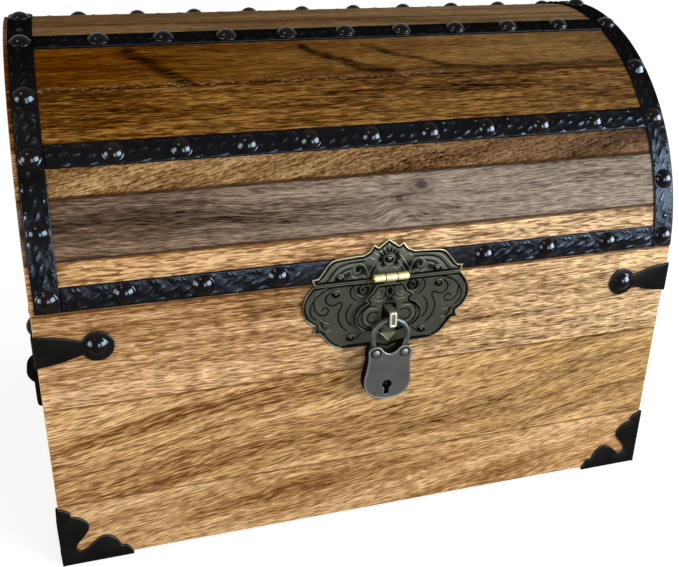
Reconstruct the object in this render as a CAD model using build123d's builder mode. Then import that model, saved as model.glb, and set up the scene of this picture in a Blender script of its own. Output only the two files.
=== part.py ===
from build123d import *

import os
from math import acos, asin, atan2, cos, degrees, hypot, radians, sin, sqrt

# A wooden treasure chest with a domed lid of staves, iron straps and domed nails,
# a pressed hasp with a hanging flap, a small padlock and a drop handle on each end.
# Millimetres. +X is to the right, +Y to the back and +Z up. The chest stands on z = 0.

# Wooden body
chest_length = 356.0
chest_depth = 254.0
body_height = 150.0
wall_thickness = 10.0
base_thickness = 8.0
eased_edge = 0.6
board_joint_shares = (0.253, 0.647)

# Domed lid
parting_gap = 0.5
arc_drop = 8.0
stave_thickness = 8.0
lid_end_thickness = 10.0
lid_end_clearance = 0.05
stave_joint_shares = (0.066, 0.144, 0.211, 0.292, 0.387, 0.448, 0.552, 0.640, 0.735, 0.827, 0.914)

# Iron straps over the lid
strap_width = 12.4
strap_thickness = 1.2
left_band_inset = 2.2
right_band_inset = 0.4
band_end_lift = 0.8
low_strap_rise = 7.1
middle_strap_angle = 37.8
high_strap_angle = 71.5
low_gap_nail_angle = 21.5
high_gap_nail_angle = 53.0
crown_nail_angle = 88.5
low_row_count = 8
low_row_pitch_share = 0.1076
low_row_centre_x = 0.8
upper_row_count = 9
middle_row_pitch_share = 0.0926
middle_row_centre_x = 0.3
high_row_pitch_share = 0.0946
high_row_centre_x = 3.7
rear_row_pitch_share = 0.0967
rear_row_centre_x = 0.0
upper_brad_angle = 77.5
lower_brad_angle = 12.0

# Domed nails and brads
nail_head_radius = 5.5
nail_head_height = 3.2
nail_shank_radius = 0.9
nail_shank_length = 6.0
brad_head_radius = 1.7
brad_head_height = 0.8
brad_shank_radius = 0.6
fastener_clearance = 0.05

# Corner irons and corner braces
iron_thickness = 1.2
iron_reach = 37.0
iron_outline_shares = (
    (0.000, 1.000),
    (0.095, 0.955),
    (0.152, 0.905),
    (0.168, 0.835),
    (0.235, 0.805),
    (0.330, 0.745),
    (0.395, 0.650),
    (0.388, 0.550),
    (0.305, 0.430),
    (0.225, 0.340),
    (0.192, 0.265),
)
iron_notch_share = 0.212
brace_thickness = 1.2
brace_drop = 18.9
brace_root_height = 17.3
brace_neck_height = 7.5
brace_neck_reach = 22.0
brace_disc_reach = 29.5
brace_disc_radius = 8.1
brace_swell_share = 0.2

# Hasp
hasp_x = 2.8
hasp_half_width = 47.2
lid_plate_height = 21.5
lid_plate_thickness = 1.2
body_plate_depth = 41.0
body_plate_thickness = 1.2
plate_edge_gap = 0.3
lid_plate_shares = ((0.119, 0.819), (0.176, 0.893), (0.225, 0.744), (0.301, 0.670), (0.483, 0.651))
lid_plate_shoulder_shares = ((0.483, 0.651), (0.633, 0.619), (0.703, 0.526), (0.773, 0.335), (0.826, 0.200))
lid_plate_tip_shares = ((0.826, 0.200), (0.894, 0.181), (0.869, 0.014))
body_plate_side_shares = (
    (0.879, 0.002),
    (0.953, 0.112),
    (1.000, 0.254),
    (0.992, 0.383),
    (0.936, 0.493),
    (0.856, 0.566),
)
body_plate_spur_shares = ((0.856, 0.566), (0.853, 0.607), (0.881, 0.666), (0.805, 0.676))
body_plate_foot_shares = (
    (0.805, 0.676),
    (0.746, 0.756),
    (0.678, 0.854),
    (0.600, 0.910),
    (0.508, 0.941),
    (0.286, 0.944),
)
body_plate_drop_shares = ((0.286, 0.944), (0.127, 0.956), (0.000, 1.000))
hasp_axis_rise = 2.3
hasp_axis_proud = 4.8
hasp_knuckle_radius = 2.1
hasp_knuckle_length = 6.3
hasp_knuckle_gap = 0.25
hasp_pin_radius = 0.9
running_clearance = 0.06
flap_back_proud = 2.9
flap_thickness = 1.3
flap_length = 38.5
flap_half_width = 18.5
flap_neck_shares = ((0.395, 0.104), (0.541, 0.221), (0.757, 0.304), (0.649, 0.371), (0.838, 0.423))
flap_lobe_shares = ((0.838, 0.423), (0.989, 0.532), (1.000, 0.636), (0.935, 0.722), (0.773, 0.792))
flap_foot_shares = ((0.773, 0.792), (0.514, 0.826), (0.270, 0.857), (0.000, 1.000))
slot_half_width = 4.0
slot_top_drop = 15.5
slot_bottom_drop = 28.5
staple_width = 4.0
staple_thickness = 1.4
staple_height = 9.5
staple_reach = 11.0
staple_corner_radius = 1.5
staple_drop = 19.6

# Hasp screws: places from the hasp's centre line and the lid's or the body's rim
screw_head_radius = 2.25
screw_head_height = 0.9
screw_shank_radius = 0.8
screw_shank_length = 7.0
screw_cross_length = 2.8
screw_cross_width = 0.5
screw_cross_depth = 0.4
lid_screw_side = 27.4
lid_screw_low_rise = 3.6
lid_screw_high_rise = 11.4
body_screw_high_side = 29.1
body_screw_high_drop = 5.1
body_screw_low_side = 20.4
body_screw_low_drop = 32.0

# Padlock
padlock_proud = 7.5
padlock_tilt = 3.5
shackle_wire_radius = 1.5
shackle_arc_radius = 10.0
shackle_hang_gap = 0.3
rivet_side = 8.2
rivet_drop = 8.7
rivet_radius = 1.1
rivet_head_radius = 2.25
rivet_head_height = 0.8
shackle_eye_radius = 3.1
shackle_eye_thickness = 2.6
shackle_toe_gap = 0.5
case_thickness = 6.2
case_wall = 0.9
case_half_width = 13.5
case_depth = 37.2
ear_radius = 4.3
ear_inner_angle = 150.0
ear_outer_angle = -10.0
saddle_drop = 9.0
case_side_shares = (
    (0.896, 0.350),
    (0.933, 0.511),
    (1.000, 0.700),
    (0.896, 0.845),
    (0.556, 0.957),
    (0.000, 1.000),
)
case_open_drop = 12.5
keyhole_radius = 2.7
keyhole_drop = 28.2
keyhole_slot_width = 2.6
keyhole_slot_drop = 34.0
key_post_radius = 0.8
key_post_length = 3.6
latch_width = 7.0
latch_height = 3.0
latch_thickness = 2.0
latch_drop = 14.6
latch_x = 4.4

# Hinges let into the rear edges of the body and the lid
hinge_x_share = 0.309
hinge_length = 38.0
leaf_thickness = 0.8
leaf_width = 6.4
hinge_offset = 4.0
hinge_knuckle_radius = 2.6
hinge_knuckle_gap = 0.25
hinge_pin_radius = 1.2
hinge_pin_overhang = 0.8
hinge_screw_pitch = 22.0
hinge_screw_inset = 3.4
hinge_screw_head_radius = 1.5
hinge_screw_shank_radius = 0.7
hinge_screw_length = 7.0

# Drop handles on the ends
handle_drop = 74.0
handle_lug_spacing = 84.0
handle_plate_length = 108.0
handle_plate_height = 20.0
handle_plate_thickness = 1.2
handle_plate_corner = 4.0
lug_width = 7.0
lug_half_height = 8.6
lug_reach = 11.6
handle_axis_proud = 6.6
bail_radius = 2.2
bail_drop = 30.0
bail_corner_radius = 6.0
bail_lug_gap = 0.6
bail_end_depth = 5.0
handle_screw_inner = 20.0
handle_screw_outer = 49.0

# Places worked out from the sizes above
half_length = chest_length / 2
wood_bottom = iron_thickness
parting_z = wood_bottom + body_height
lid_bottom = parting_z + parting_gap
lid_centre_z = lid_bottom - arc_drop
lid_radius = hypot(chest_depth / 2, arc_drop)
stave_inner_radius = lid_radius - stave_thickness
strap_radius = lid_radius + strap_thickness
lid_plate_radius = strap_radius + lid_plate_thickness
front_reach = max(staple_reach, padlock_proud + case_thickness / 2 + rivet_head_height)
back_reach = hinge_offset + hinge_knuckle_radius
chest_centre_y = (front_reach - back_reach) / 2
front_y = chest_centre_y - chest_depth / 2
back_y = chest_centre_y + chest_depth / 2
hinge_x = hinge_x_share * chest_length
hinge_y = back_y + hinge_offset
hinge_z = parting_z + parting_gap / 2
hasp_axis_z = lid_bottom + hasp_axis_rise
brace_z = parting_z - brace_drop
handle_z = parting_z - handle_drop
lower_joint, upper_joint = (share * body_height for share in board_joint_shares)
left_band_x = -half_length + left_band_inset + strap_width / 2
right_band_x = half_length - right_band_inset - strap_width / 2
nail_hole_radius = nail_shank_radius + fastener_clearance
brad_hole_radius = brad_shank_radius + fastener_clearance
screw_hole_radius = screw_shank_radius + fastener_clearance
hinge_screw_hole_radius = hinge_screw_shank_radius + fastener_clearance


def rim_angle(radius):
    """Angle at which an arc of the lid meets the lid's flat lower rim."""
    return degrees(asin(arc_drop / radius))


low_strap_angle = rim_angle(lid_radius) + degrees(low_strap_rise / lid_radius)


def on_arc(radius, angle):
    """Point (y, z) on the lid's arc, with the angle counted from the front over the top."""
    return (
        chest_centre_y - radius * cos(radians(angle)),
        lid_centre_z + radius * sin(radians(angle)),
    )


def lid_plane(x, angle, radius):
    """Plane on the lid at x and angle, facing outwards."""
    y, z = on_arc(radius, angle)
    outwards = (0, -cos(radians(angle)), sin(radians(angle)))
    return Plane(origin=(x, y, z), x_dir=(1, 0, 0), z_dir=outwards)


def front_plane(x, z, proud):
    """Plane that stands proud of the chest's front face and looks forwards."""
    return Plane(origin=(x, front_y - proud, z), x_dir=(1, 0, 0), z_dir=(0, -1, 0))


def wall_plane(wall, along=0, z=0, proud=0):
    """Plane on a wall's outer face, facing outwards, with its local y upwards."""
    if wall == "front":
        return Plane(origin=(along, front_y - proud, z), x_dir=(1, 0, 0), z_dir=(0, -1, 0))
    if wall == "back":
        return Plane(origin=(along, back_y + proud, z), x_dir=(-1, 0, 0), z_dir=(0, 1, 0))
    if wall == "left":
        return Plane(origin=(-half_length - proud, along, z), x_dir=(0, -1, 0), z_dir=(-1, 0, 0))
    return Plane(origin=(half_length + proud, along, z), x_dir=(0, 1, 0), z_dir=(1, 0, 0))


def ring_sector(inner, outer, start, end):
    """Face between two radii of the lid's arc, as local (y, z)."""
    middle = (start + end) / 2
    with BuildSketch() as sector:
        with BuildLine():
            ThreePointArc(on_arc(outer, start), on_arc(outer, middle), on_arc(outer, end))
            Line(on_arc(outer, end), on_arc(inner, end))
            ThreePointArc(on_arc(inner, end), on_arc(inner, middle), on_arc(inner, start))
            Line(on_arc(inner, start), on_arc(outer, start))
        make_face()
    return sector.sketch


# Where the nails, brads and screws go
strap_angles = (
    low_strap_angle,
    middle_strap_angle,
    high_strap_angle,
    180 - high_strap_angle,
    180 - middle_strap_angle,
    180 - low_strap_angle,
)
gap_nail_angles = (
    low_gap_nail_angle,
    high_gap_nail_angle,
    180 - high_gap_nail_angle,
    180 - low_gap_nail_angle,
)


# Number of nails, pitch as a share of the length and middle of each strap's row
nail_row_shapes = {
    low_strap_angle: (low_row_count, low_row_pitch_share, low_row_centre_x),
    middle_strap_angle: (upper_row_count, middle_row_pitch_share, middle_row_centre_x),
    high_strap_angle: (upper_row_count, high_row_pitch_share, high_row_centre_x),
    180 - high_strap_angle: (upper_row_count, rear_row_pitch_share, rear_row_centre_x),
    180 - middle_strap_angle: (upper_row_count, rear_row_pitch_share, rear_row_centre_x),
    180 - low_strap_angle: (low_row_count, low_row_pitch_share, low_row_centre_x),
}


def nail_row(angle):
    """The x places of a strap's own nails. The hasp's plate takes the place of some at the front."""
    count, share, centre_x = nail_row_shapes[angle]
    row = [centre_x + chest_length * share * (i - (count - 1) / 2) for i in range(count)]
    if angle != low_strap_angle:
        return row
    return [x for x in row if abs(x - hasp_x) > hasp_half_width + nail_head_radius / 2]


lid_nail_places = [(x, angle) for angle in strap_angles for x in nail_row(angle)]
band_nail_angles = (*strap_angles, *gap_nail_angles, crown_nail_angle)
lid_nail_places += [(x, angle) for x in (left_band_x, right_band_x) for angle in band_nail_angles]
lid_brad_places = [
    (left_band_x, upper_brad_angle),
    (left_band_x, 180 - lower_brad_angle),
    (right_band_x, lower_brad_angle),
    (right_band_x, 180 - upper_brad_angle),
]


def lid_screw_angle(rise):
    """Angle on the lid's plate at a height above the lid's rim."""
    return degrees(asin((arc_drop + rise) / lid_plate_radius))


lid_screw_places = [
    (hasp_x - lid_screw_side, lid_screw_angle(lid_screw_low_rise)),
    (hasp_x + lid_screw_side, lid_screw_angle(lid_screw_low_rise)),
    (hasp_x, lid_screw_angle(lid_screw_high_rise)),
]
body_screw_places = [
    (hasp_x + side * x, parting_z - drop)
    for side in (-1, 1)
    for x, drop in ((body_screw_high_side, body_screw_high_drop), (body_screw_low_side, body_screw_low_drop))
]
handle_screw_places = [
    chest_centre_y + side * y for side in (-1, 1) for y in (handle_screw_inner, handle_screw_outer)
]
hinge_screw_places = [
    (side * hinge_x + step * hinge_screw_pitch / 2, back_y - hinge_screw_inset)
    for side in (-1, 1)
    for step in (-1, 1)
]


def brace_nail_planes(wall):
    """Seats of the two brace nails on one wall."""
    if wall in ("front", "back"):
        places = [-half_length + brace_disc_reach, half_length - brace_disc_reach]
    else:
        places = [front_y + brace_disc_reach, back_y - brace_disc_reach]
    return [wall_plane(wall, along, brace_z, brace_thickness) for along in places]


# Fasteners, each made once at the origin with its head on +Z
def make_domed_pin(head_radius, head_height, shank_radius, shank_length):
    """A pin with a domed head, seated on z = 0."""
    dome_radius = (head_radius**2 + head_height**2) / (2 * head_height)
    dome_centre = head_height - dome_radius
    rim = degrees(atan2(-dome_centre, head_radius))
    with BuildPart() as pin:
        with BuildSketch(Plane.XZ):
            with BuildLine():
                CenterArc((0, dome_centre), dome_radius, rim, 90 - rim)
                Polyline(
                    (0, head_height),
                    (0, -shank_length),
                    (shank_radius, -shank_length),
                    (shank_radius, 0),
                    (head_radius, 0),
                )
            make_face()
        revolve(axis=Axis.Z)
    return pin.part


def make_round_screw():
    """A pan-headed screw with a cross recess, seated on z = 0."""
    with BuildPart() as screw:
        add(make_domed_pin(screw_head_radius, screw_head_height, screw_shank_radius, screw_shank_length))
        with BuildSketch(Plane.XY.offset(screw_head_height)):
            Rectangle(screw_cross_length, screw_cross_width)
            Rectangle(screw_cross_width, screw_cross_length)
        extrude(amount=-screw_cross_depth, mode=Mode.SUBTRACT)
    return screw.part


def make_flat_screw():
    """A countersunk screw, flush with z = 0."""
    with BuildPart() as screw:
        with BuildSketch(Plane.XZ):
            with BuildLine():
                Polyline(
                    (0, 0),
                    (hinge_screw_head_radius, 0),
                    (hinge_screw_shank_radius, hinge_screw_shank_radius - hinge_screw_head_radius),
                    (hinge_screw_shank_radius, -hinge_screw_length),
                    (0, -hinge_screw_length),
                    close=True,
                )
            make_face()
        revolve(axis=Axis.Z)
    return screw.part


# Wooden body
def make_board(wall, length, bottom, top, joints=()):
    """A wall board from bottom to top. Each joint of a glued panel shows as a fine groove."""
    outline = [(0, bottom), (0, top), (wall_thickness - eased_edge, top), (wall_thickness, top - eased_edge)]
    for joint in sorted(joints, reverse=True):
        outline += [
            (wall_thickness, joint + eased_edge),
            (wall_thickness - eased_edge, joint),
            (wall_thickness, joint - eased_edge),
        ]
    outline += [(wall_thickness, bottom + eased_edge), (wall_thickness - eased_edge, bottom)]
    face = wall_plane(wall, chest_centre_y if wall in ("left", "right") else 0, wood_bottom)
    section = Plane(origin=face.origin - face.z_dir * wall_thickness, x_dir=face.z_dir, z_dir=-face.x_dir)
    with BuildPart() as board:
        with BuildSketch(section):
            with BuildLine():
                Polyline(*outline, close=True)
            make_face()
        extrude(amount=length / 2, both=True)
    return board.part


def make_front_boards():
    """Three full-length boards. The top one carries the hasp's plate and two brace nails."""
    lower = make_board("front", chest_length, 0, lower_joint)
    middle = make_board("front", chest_length, lower_joint, upper_joint)
    with BuildPart() as upper:
        add(make_board("front", chest_length, upper_joint, body_height))
        with Locations(*brace_nail_planes("front")):
            Cylinder(nail_hole_radius, 2 * nail_shank_length, mode=Mode.SUBTRACT)
        with Locations(*[front_plane(x, z, body_plate_thickness) for x, z in body_screw_places]):
            Cylinder(screw_hole_radius, 2 * screw_shank_length, mode=Mode.SUBTRACT)
    return {"front_board_lower": lower, "front_board_middle": middle, "front_board_upper": upper.part}


def make_back_panel():
    """The glued-up back, with a mortise for each hinge leaf."""
    joints = (lower_joint, upper_joint)
    with BuildPart() as panel:
        add(make_board("back", chest_length, 0, body_height, joints))
        with Locations(*brace_nail_planes("back")):
            Cylinder(nail_hole_radius, 2 * nail_shank_length, mode=Mode.SUBTRACT)
        with BuildSketch(Plane.XY.offset(parting_z)):
            with Locations((-hinge_x, back_y - leaf_width / 2), (hinge_x, back_y - leaf_width / 2)):
                Rectangle(hinge_length, leaf_width)
        extrude(amount=-leaf_thickness, mode=Mode.SUBTRACT)
        with Locations(*[(x, y, parting_z) for x, y in hinge_screw_places]):
            Cylinder(hinge_screw_hole_radius, 2 * hinge_screw_length, mode=Mode.SUBTRACT)
    return panel.part


def make_end_panel(wall):
    """A glued-up end between the front and the back, drilled for its handle and brace nails."""
    joints = (lower_joint, upper_joint)
    seats = [wall_plane(wall, y, handle_z, handle_plate_thickness) for y in handle_screw_places]
    with BuildPart() as panel:
        add(make_board(wall, chest_depth - 2 * wall_thickness, 0, body_height, joints))
        with Locations(*brace_nail_planes(wall)):
            Cylinder(nail_hole_radius, 2 * nail_shank_length, mode=Mode.SUBTRACT)
        with Locations(*seats):
            Cylinder(screw_hole_radius, 2 * screw_shank_length, mode=Mode.SUBTRACT)
    return panel.part


def make_base_board():
    """The bottom, held between the four walls."""
    with BuildPart() as board:
        with BuildSketch(Plane.XY.offset(wood_bottom)):
            with Locations((0, chest_centre_y)):
                Rectangle(chest_length - 2 * wall_thickness, chest_depth - 2 * wall_thickness)
        extrude(amount=base_thickness)
    return board.part


# Domed lid
stave_span = 180 - 2 * rim_angle(lid_radius)
stave_angles = [rim_angle(lid_radius) + stave_span * share for share in (0, *stave_joint_shares, 1)]
stave_count = len(stave_angles) - 1


def make_stave(number):
    """One stave of the lid. The first and last end flat on the rim, the others on radial joints."""
    start, end = stave_angles[number], stave_angles[number + 1]
    middle = (start + end) / 2
    groove = degrees(eased_edge / lid_radius)
    first, last = number == 0, number == stave_count - 1
    outer_start = on_arc(lid_radius, start if first else start + groove)
    outer_end = on_arc(lid_radius, end if last else end - groove)
    inner_start = on_arc(stave_inner_radius, rim_angle(stave_inner_radius) if first else start)
    inner_end = on_arc(stave_inner_radius, 180 - rim_angle(stave_inner_radius) if last else end)
    nails = [place for place in lid_nail_places if start < place[1] < end]
    brads = [place for place in lid_brad_places if start < place[1] < end]
    screws = [place for place in lid_screw_places if start < place[1] < end]
    with BuildPart() as stave:
        with BuildSketch(Plane.YZ):
            with BuildLine():
                ThreePointArc(outer_start, on_arc(lid_radius, middle), outer_end)
                if last:
                    Line(outer_end, inner_end)
                else:
                    Polyline(outer_end, on_arc(lid_radius - eased_edge, end), inner_end)
                ThreePointArc(inner_end, on_arc(stave_inner_radius, middle), inner_start)
                if first:
                    Line(inner_start, outer_start)
                else:
                    Polyline(inner_start, on_arc(lid_radius - eased_edge, start), outer_start)
            make_face()
        extrude(amount=half_length, both=True)
        if nails:
            with Locations(*[lid_plane(x, angle, strap_radius) for x, angle in nails]):
                Cylinder(nail_hole_radius, 2 * nail_shank_length, mode=Mode.SUBTRACT)
        if brads:
            with Locations(*[lid_plane(x, angle, strap_radius) for x, angle in brads]):
                Cylinder(brad_hole_radius, 2 * nail_shank_length, mode=Mode.SUBTRACT)
        if screws:
            with Locations(*[lid_plane(x, angle, lid_plate_radius) for x, angle in screws]):
                Cylinder(screw_hole_radius, 2 * screw_shank_length, mode=Mode.SUBTRACT)
        if last:
            with BuildSketch(Plane.XY.offset(lid_bottom)):
                with Locations((-hinge_x, back_y - leaf_width / 2), (hinge_x, back_y - leaf_width / 2)):
                    Rectangle(hinge_length, leaf_width)
            extrude(amount=leaf_thickness, mode=Mode.SUBTRACT)
            with Locations(*[(x, y, lid_bottom) for x, y in hinge_screw_places]):
                Cylinder(hinge_screw_hole_radius, 2 * hinge_screw_length, mode=Mode.SUBTRACT)
    return stave.part


def make_lid_end(side):
    """The D-shaped end board inside the staves."""
    radius = stave_inner_radius - lid_end_clearance
    rim = rim_angle(radius)
    inner_face = half_length - lid_end_thickness
    with BuildPart() as board:
        with BuildSketch(Plane.YZ.offset(inner_face if side > 0 else -half_length)):
            with BuildLine():
                ThreePointArc(on_arc(radius, rim), on_arc(radius, 90), on_arc(radius, 180 - rim))
                Line(on_arc(radius, 180 - rim), on_arc(radius, rim))
            make_face()
        extrude(amount=lid_end_thickness)
    return board.part


# Iron straps, nails and brads
def make_lid_band(centre_x):
    """An end band that runs from rim to rim over the lid."""
    start = rim_angle(lid_radius) + degrees(band_end_lift / lid_radius)
    nails = [lid_plane(x, angle, strap_radius) for x, angle in lid_nail_places if x == centre_x]
    brads = [lid_plane(x, angle, strap_radius) for x, angle in lid_brad_places if x == centre_x]
    with BuildPart() as band:
        with BuildSketch(Plane.YZ.offset(centre_x)):
            add(ring_sector(lid_radius, strap_radius, start, 180 - start))
        extrude(amount=strap_width / 2, both=True)
        with Locations(*nails):
            Cylinder(nail_hole_radius, 2 * nail_shank_length, mode=Mode.SUBTRACT)
        with Locations(*brads):
            Cylinder(brad_hole_radius, 2 * nail_shank_length, mode=Mode.SUBTRACT)
    return band.part


def make_cross_strap(angle):
    """A strap along the lid from band to band, drilled for its nails and, at the front, the hasp's screws."""
    half_angle = degrees(strap_width / 2 / lid_radius)
    start_x = left_band_x + strap_width / 2
    nails = [lid_plane(x, angle, strap_radius) for x in nail_row(angle)]
    with BuildPart() as strap:
        with BuildSketch(Plane.YZ.offset(start_x)):
            add(ring_sector(lid_radius, strap_radius, angle - half_angle, angle + half_angle))
        extrude(amount=right_band_x - strap_width / 2 - start_x)
        with Locations(*nails):
            Cylinder(nail_hole_radius, 2 * nail_shank_length, mode=Mode.SUBTRACT)
        if angle == low_strap_angle:
            with Locations(*[lid_plane(x, a, lid_plate_radius) for x, a in lid_screw_places]):
                Cylinder(screw_hole_radius, 2 * screw_shank_length, mode=Mode.SUBTRACT)
    return strap.part


def make_lid_nails():
    """The domed nails and the brads that hold the straps, each a separate solid."""
    nail = make_domed_pin(nail_head_radius, nail_head_height, nail_shank_radius, nail_shank_length)
    brad = make_domed_pin(brad_head_radius, brad_head_height, brad_shank_radius, nail_shank_length)
    with BuildPart() as nails:
        with Locations(*[lid_plane(x, angle, strap_radius) for x, angle in lid_nail_places]):
            add(nail)
        with Locations(*[lid_plane(x, angle, strap_radius) for x, angle in lid_brad_places]):
            add(brad)
    return nails.part


# Corner irons and corner braces
def make_corner_iron(side_x, side_y):
    """A three-sided iron on a lower corner, with the same lobed outline on each side."""
    corner = (side_x * half_length, chest_centre_y + side_y * chest_depth / 2, wood_bottom)
    inwards_x, inwards_y = (-side_x, 0, 0), (0, -side_y, 0)
    planes = (
        (Plane(origin=corner, x_dir=inwards_x, z_dir=(0, side_x, 0)), side_x * side_y),
        (Plane(origin=corner, x_dir=inwards_y, z_dir=(-side_y, 0, 0)), -side_x * side_y),
        (Plane(origin=corner, x_dir=inwards_x, z_dir=(0, 0, side_x * side_y)), -side_x * side_y),
    )
    half = [(u * iron_reach, v * iron_reach) for u, v in iron_outline_shares]
    notch = (iron_notch_share * iron_reach, iron_notch_share * iron_reach)
    outline = [*half, notch, *[(v, u) for u, v in reversed(half)]]
    with BuildPart() as iron:
        for plane, outwards in planes:
            with BuildSketch(plane):
                with BuildLine():
                    Spline(*outline)
                    Polyline(
                        outline[-1],
                        (iron_reach, -iron_thickness),
                        (-iron_thickness, -iron_thickness),
                        (-iron_thickness, iron_reach),
                        outline[0],
                    )
                make_face()
            extrude(amount=iron_thickness * outwards)
    return iron.part


def make_corner_brace(side_x, side_y):
    """A flat brace round an upright corner, with an arm and a nailed disc on each side of it."""
    corner = (side_x * half_length, chest_centre_y + side_y * chest_depth / 2, brace_z)
    planes = (
        (Plane(origin=corner, x_dir=(-side_x, 0, 0), z_dir=(0, side_x, 0)), side_x * side_y),
        (Plane(origin=corner, x_dir=(0, -side_y, 0), z_dir=(-side_y, 0, 0)), -side_x * side_y),
    )
    root, neck = brace_root_height / 2, brace_neck_height / 2
    swell = (brace_neck_reach / 2, (root + neck) / 2 + neck * brace_swell_share)
    with BuildPart() as brace:
        for plane, outwards in planes:
            with BuildSketch(plane):
                with BuildLine():
                    Polyline((0, root), (-brace_thickness, root), (-brace_thickness, -root), (0, -root))
                    Spline((0, -root), (swell[0], -swell[1]), (brace_neck_reach, -neck))
                    Polyline(
                        (brace_neck_reach, -neck),
                        (brace_disc_reach, -neck),
                        (brace_disc_reach, neck),
                        (brace_neck_reach, neck),
                    )
                    Spline((brace_neck_reach, neck), swell, (0, root))
                make_face()
                with Locations((brace_disc_reach, 0)):
                    Circle(brace_disc_radius)
                    Circle(nail_hole_radius, mode=Mode.SUBTRACT)
            extrude(amount=brace_thickness * outwards)
    return brace.part


def make_brace_nails():
    """The eight domed nails of the corner braces."""
    nail = make_domed_pin(nail_head_radius, nail_head_height, nail_shank_radius, nail_shank_length)
    with BuildPart() as nails:
        for wall in ("front", "back", "left", "right"):
            with Locations(*brace_nail_planes(wall)):
                add(nail)
    return nails.part


# Hasp
def hasp_sketch(width, height, *runs):
    """Both halves of a pressed plate's outline. Each run is straight or a spline through its shares."""
    with BuildSketch() as outline:
        with BuildLine() as line:
            for curved, shares in runs:
                points = [(u * width, v * height) for u, v in shares]
                if curved:
                    Spline(*points)
                else:
                    Polyline(*points)
            mirror(line.line, about=Plane.YZ)
        make_face()
    return outline.sketch


def make_hasp_lid_plate():
    """The upper plate, bent to the lid over the low strap, with the two outer knuckles."""
    start = rim_angle(strap_radius) + degrees(plate_edge_gap / strap_radius)
    end = lid_screw_angle(lid_plate_height) + low_strap_angle
    rim_share = plate_edge_gap / lid_plate_height
    tip = lid_plate_tip_shares[-1][0]
    outline = hasp_sketch(
        hasp_half_width,
        lid_plate_height,
        (False, ((0, 1), *lid_plate_shares)),
        (True, lid_plate_shoulder_shares),
        (False, (*lid_plate_tip_shares[:-1], (tip, rim_share), (0, rim_share))),
    )
    knuckle_pitch = hasp_knuckle_length + hasp_knuckle_gap
    axis = (front_y - hasp_axis_proud, hasp_axis_z)
    web_radius = (strap_radius + lid_plate_radius) / 2
    web_back = web_radius * cos(radians(lid_screw_angle(hasp_axis_rise))) - chest_depth / 2
    with BuildPart() as plate:
        with BuildSketch(Plane.YZ.offset(hasp_x)):
            add(ring_sector(strap_radius, lid_plate_radius, start, end))
        extrude(amount=hasp_half_width, both=True)
        with BuildSketch(front_plane(hasp_x, lid_bottom, 0)):
            add(outline)
        extrude(amount=hasp_half_width, both=True, mode=Mode.INTERSECT)
        with Locations(*[lid_plane(x, angle, lid_plate_radius) for x, angle in lid_screw_places]):
            Cylinder(screw_hole_radius, 2 * screw_shank_length, mode=Mode.SUBTRACT)
        for side in (-1, 1):
            with BuildSketch(Plane.YZ.offset(hasp_x + side * knuckle_pitch)):
                with Locations(axis):
                    Circle(hasp_knuckle_radius)
                with Locations(((axis[0] + front_y - web_back) / 2, hasp_axis_z)):
                    Rectangle(hasp_axis_proud - web_back, lid_plate_thickness)
            extrude(amount=hasp_knuckle_length / 2, both=True)
        with BuildSketch(Plane.YZ.offset(hasp_x)):
            with Locations(axis):
                Circle(hasp_pin_radius + running_clearance)
        extrude(amount=hasp_half_width, both=True, mode=Mode.SUBTRACT)
    return plate.part


def make_hasp_body_plate():
    """The flat lower plate on the front, slotted for the staple's legs."""
    half = hasp_sketch(
        hasp_half_width,
        -body_plate_depth,
        (False, ((0, body_plate_side_shares[0][1]), body_plate_side_shares[0])),
        (True, body_plate_side_shares),
        (False, body_plate_spur_shares),
        (True, body_plate_foot_shares),
        (False, body_plate_drop_shares),
    )
    leg_height = (staple_height - staple_thickness) / 2
    staple_z = parting_z - staple_drop
    with BuildPart() as plate:
        with BuildSketch(front_plane(hasp_x, parting_z, 0)):
            add(half)
        extrude(amount=body_plate_thickness)
        with BuildSketch(front_plane(hasp_x, staple_z, 0)):
            with Locations((0, leg_height), (0, -leg_height)):
                Rectangle(staple_width + 2 * fastener_clearance, staple_thickness + 2 * fastener_clearance)
        extrude(amount=body_plate_thickness, mode=Mode.SUBTRACT)
        with Locations(*[front_plane(x, z, 0) for x, z in body_screw_places]):
            Cylinder(screw_hole_radius, 2 * screw_shank_length, mode=Mode.SUBTRACT)
    return plate.part


def make_hasp_staple():
    """A strip bent to a U, whose legs go through the lower plate."""
    staple_z = parting_z - staple_drop
    half = staple_height / 2
    inner_radius = staple_corner_radius - staple_thickness
    with BuildPart() as staple:
        with BuildSketch(Plane.YZ.offset(hasp_x)):
            with BuildLine():
                FilletPolyline(
                    (front_y, staple_z + half),
                    (front_y - staple_reach, staple_z + half),
                    (front_y - staple_reach, staple_z - half),
                    (front_y, staple_z - half),
                    radius=staple_corner_radius,
                )
                Line((front_y, staple_z - half), (front_y, staple_z - half + staple_thickness))
                FilletPolyline(
                    (front_y, staple_z - half + staple_thickness),
                    (front_y - staple_reach + staple_thickness, staple_z - half + staple_thickness),
                    (front_y - staple_reach + staple_thickness, staple_z + half - staple_thickness),
                    (front_y, staple_z + half - staple_thickness),
                    radius=inner_radius,
                )
                Line((front_y, staple_z + half - staple_thickness), (front_y, staple_z + half))
            make_face()
        extrude(amount=staple_width / 2, both=True)
    return staple.part


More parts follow.
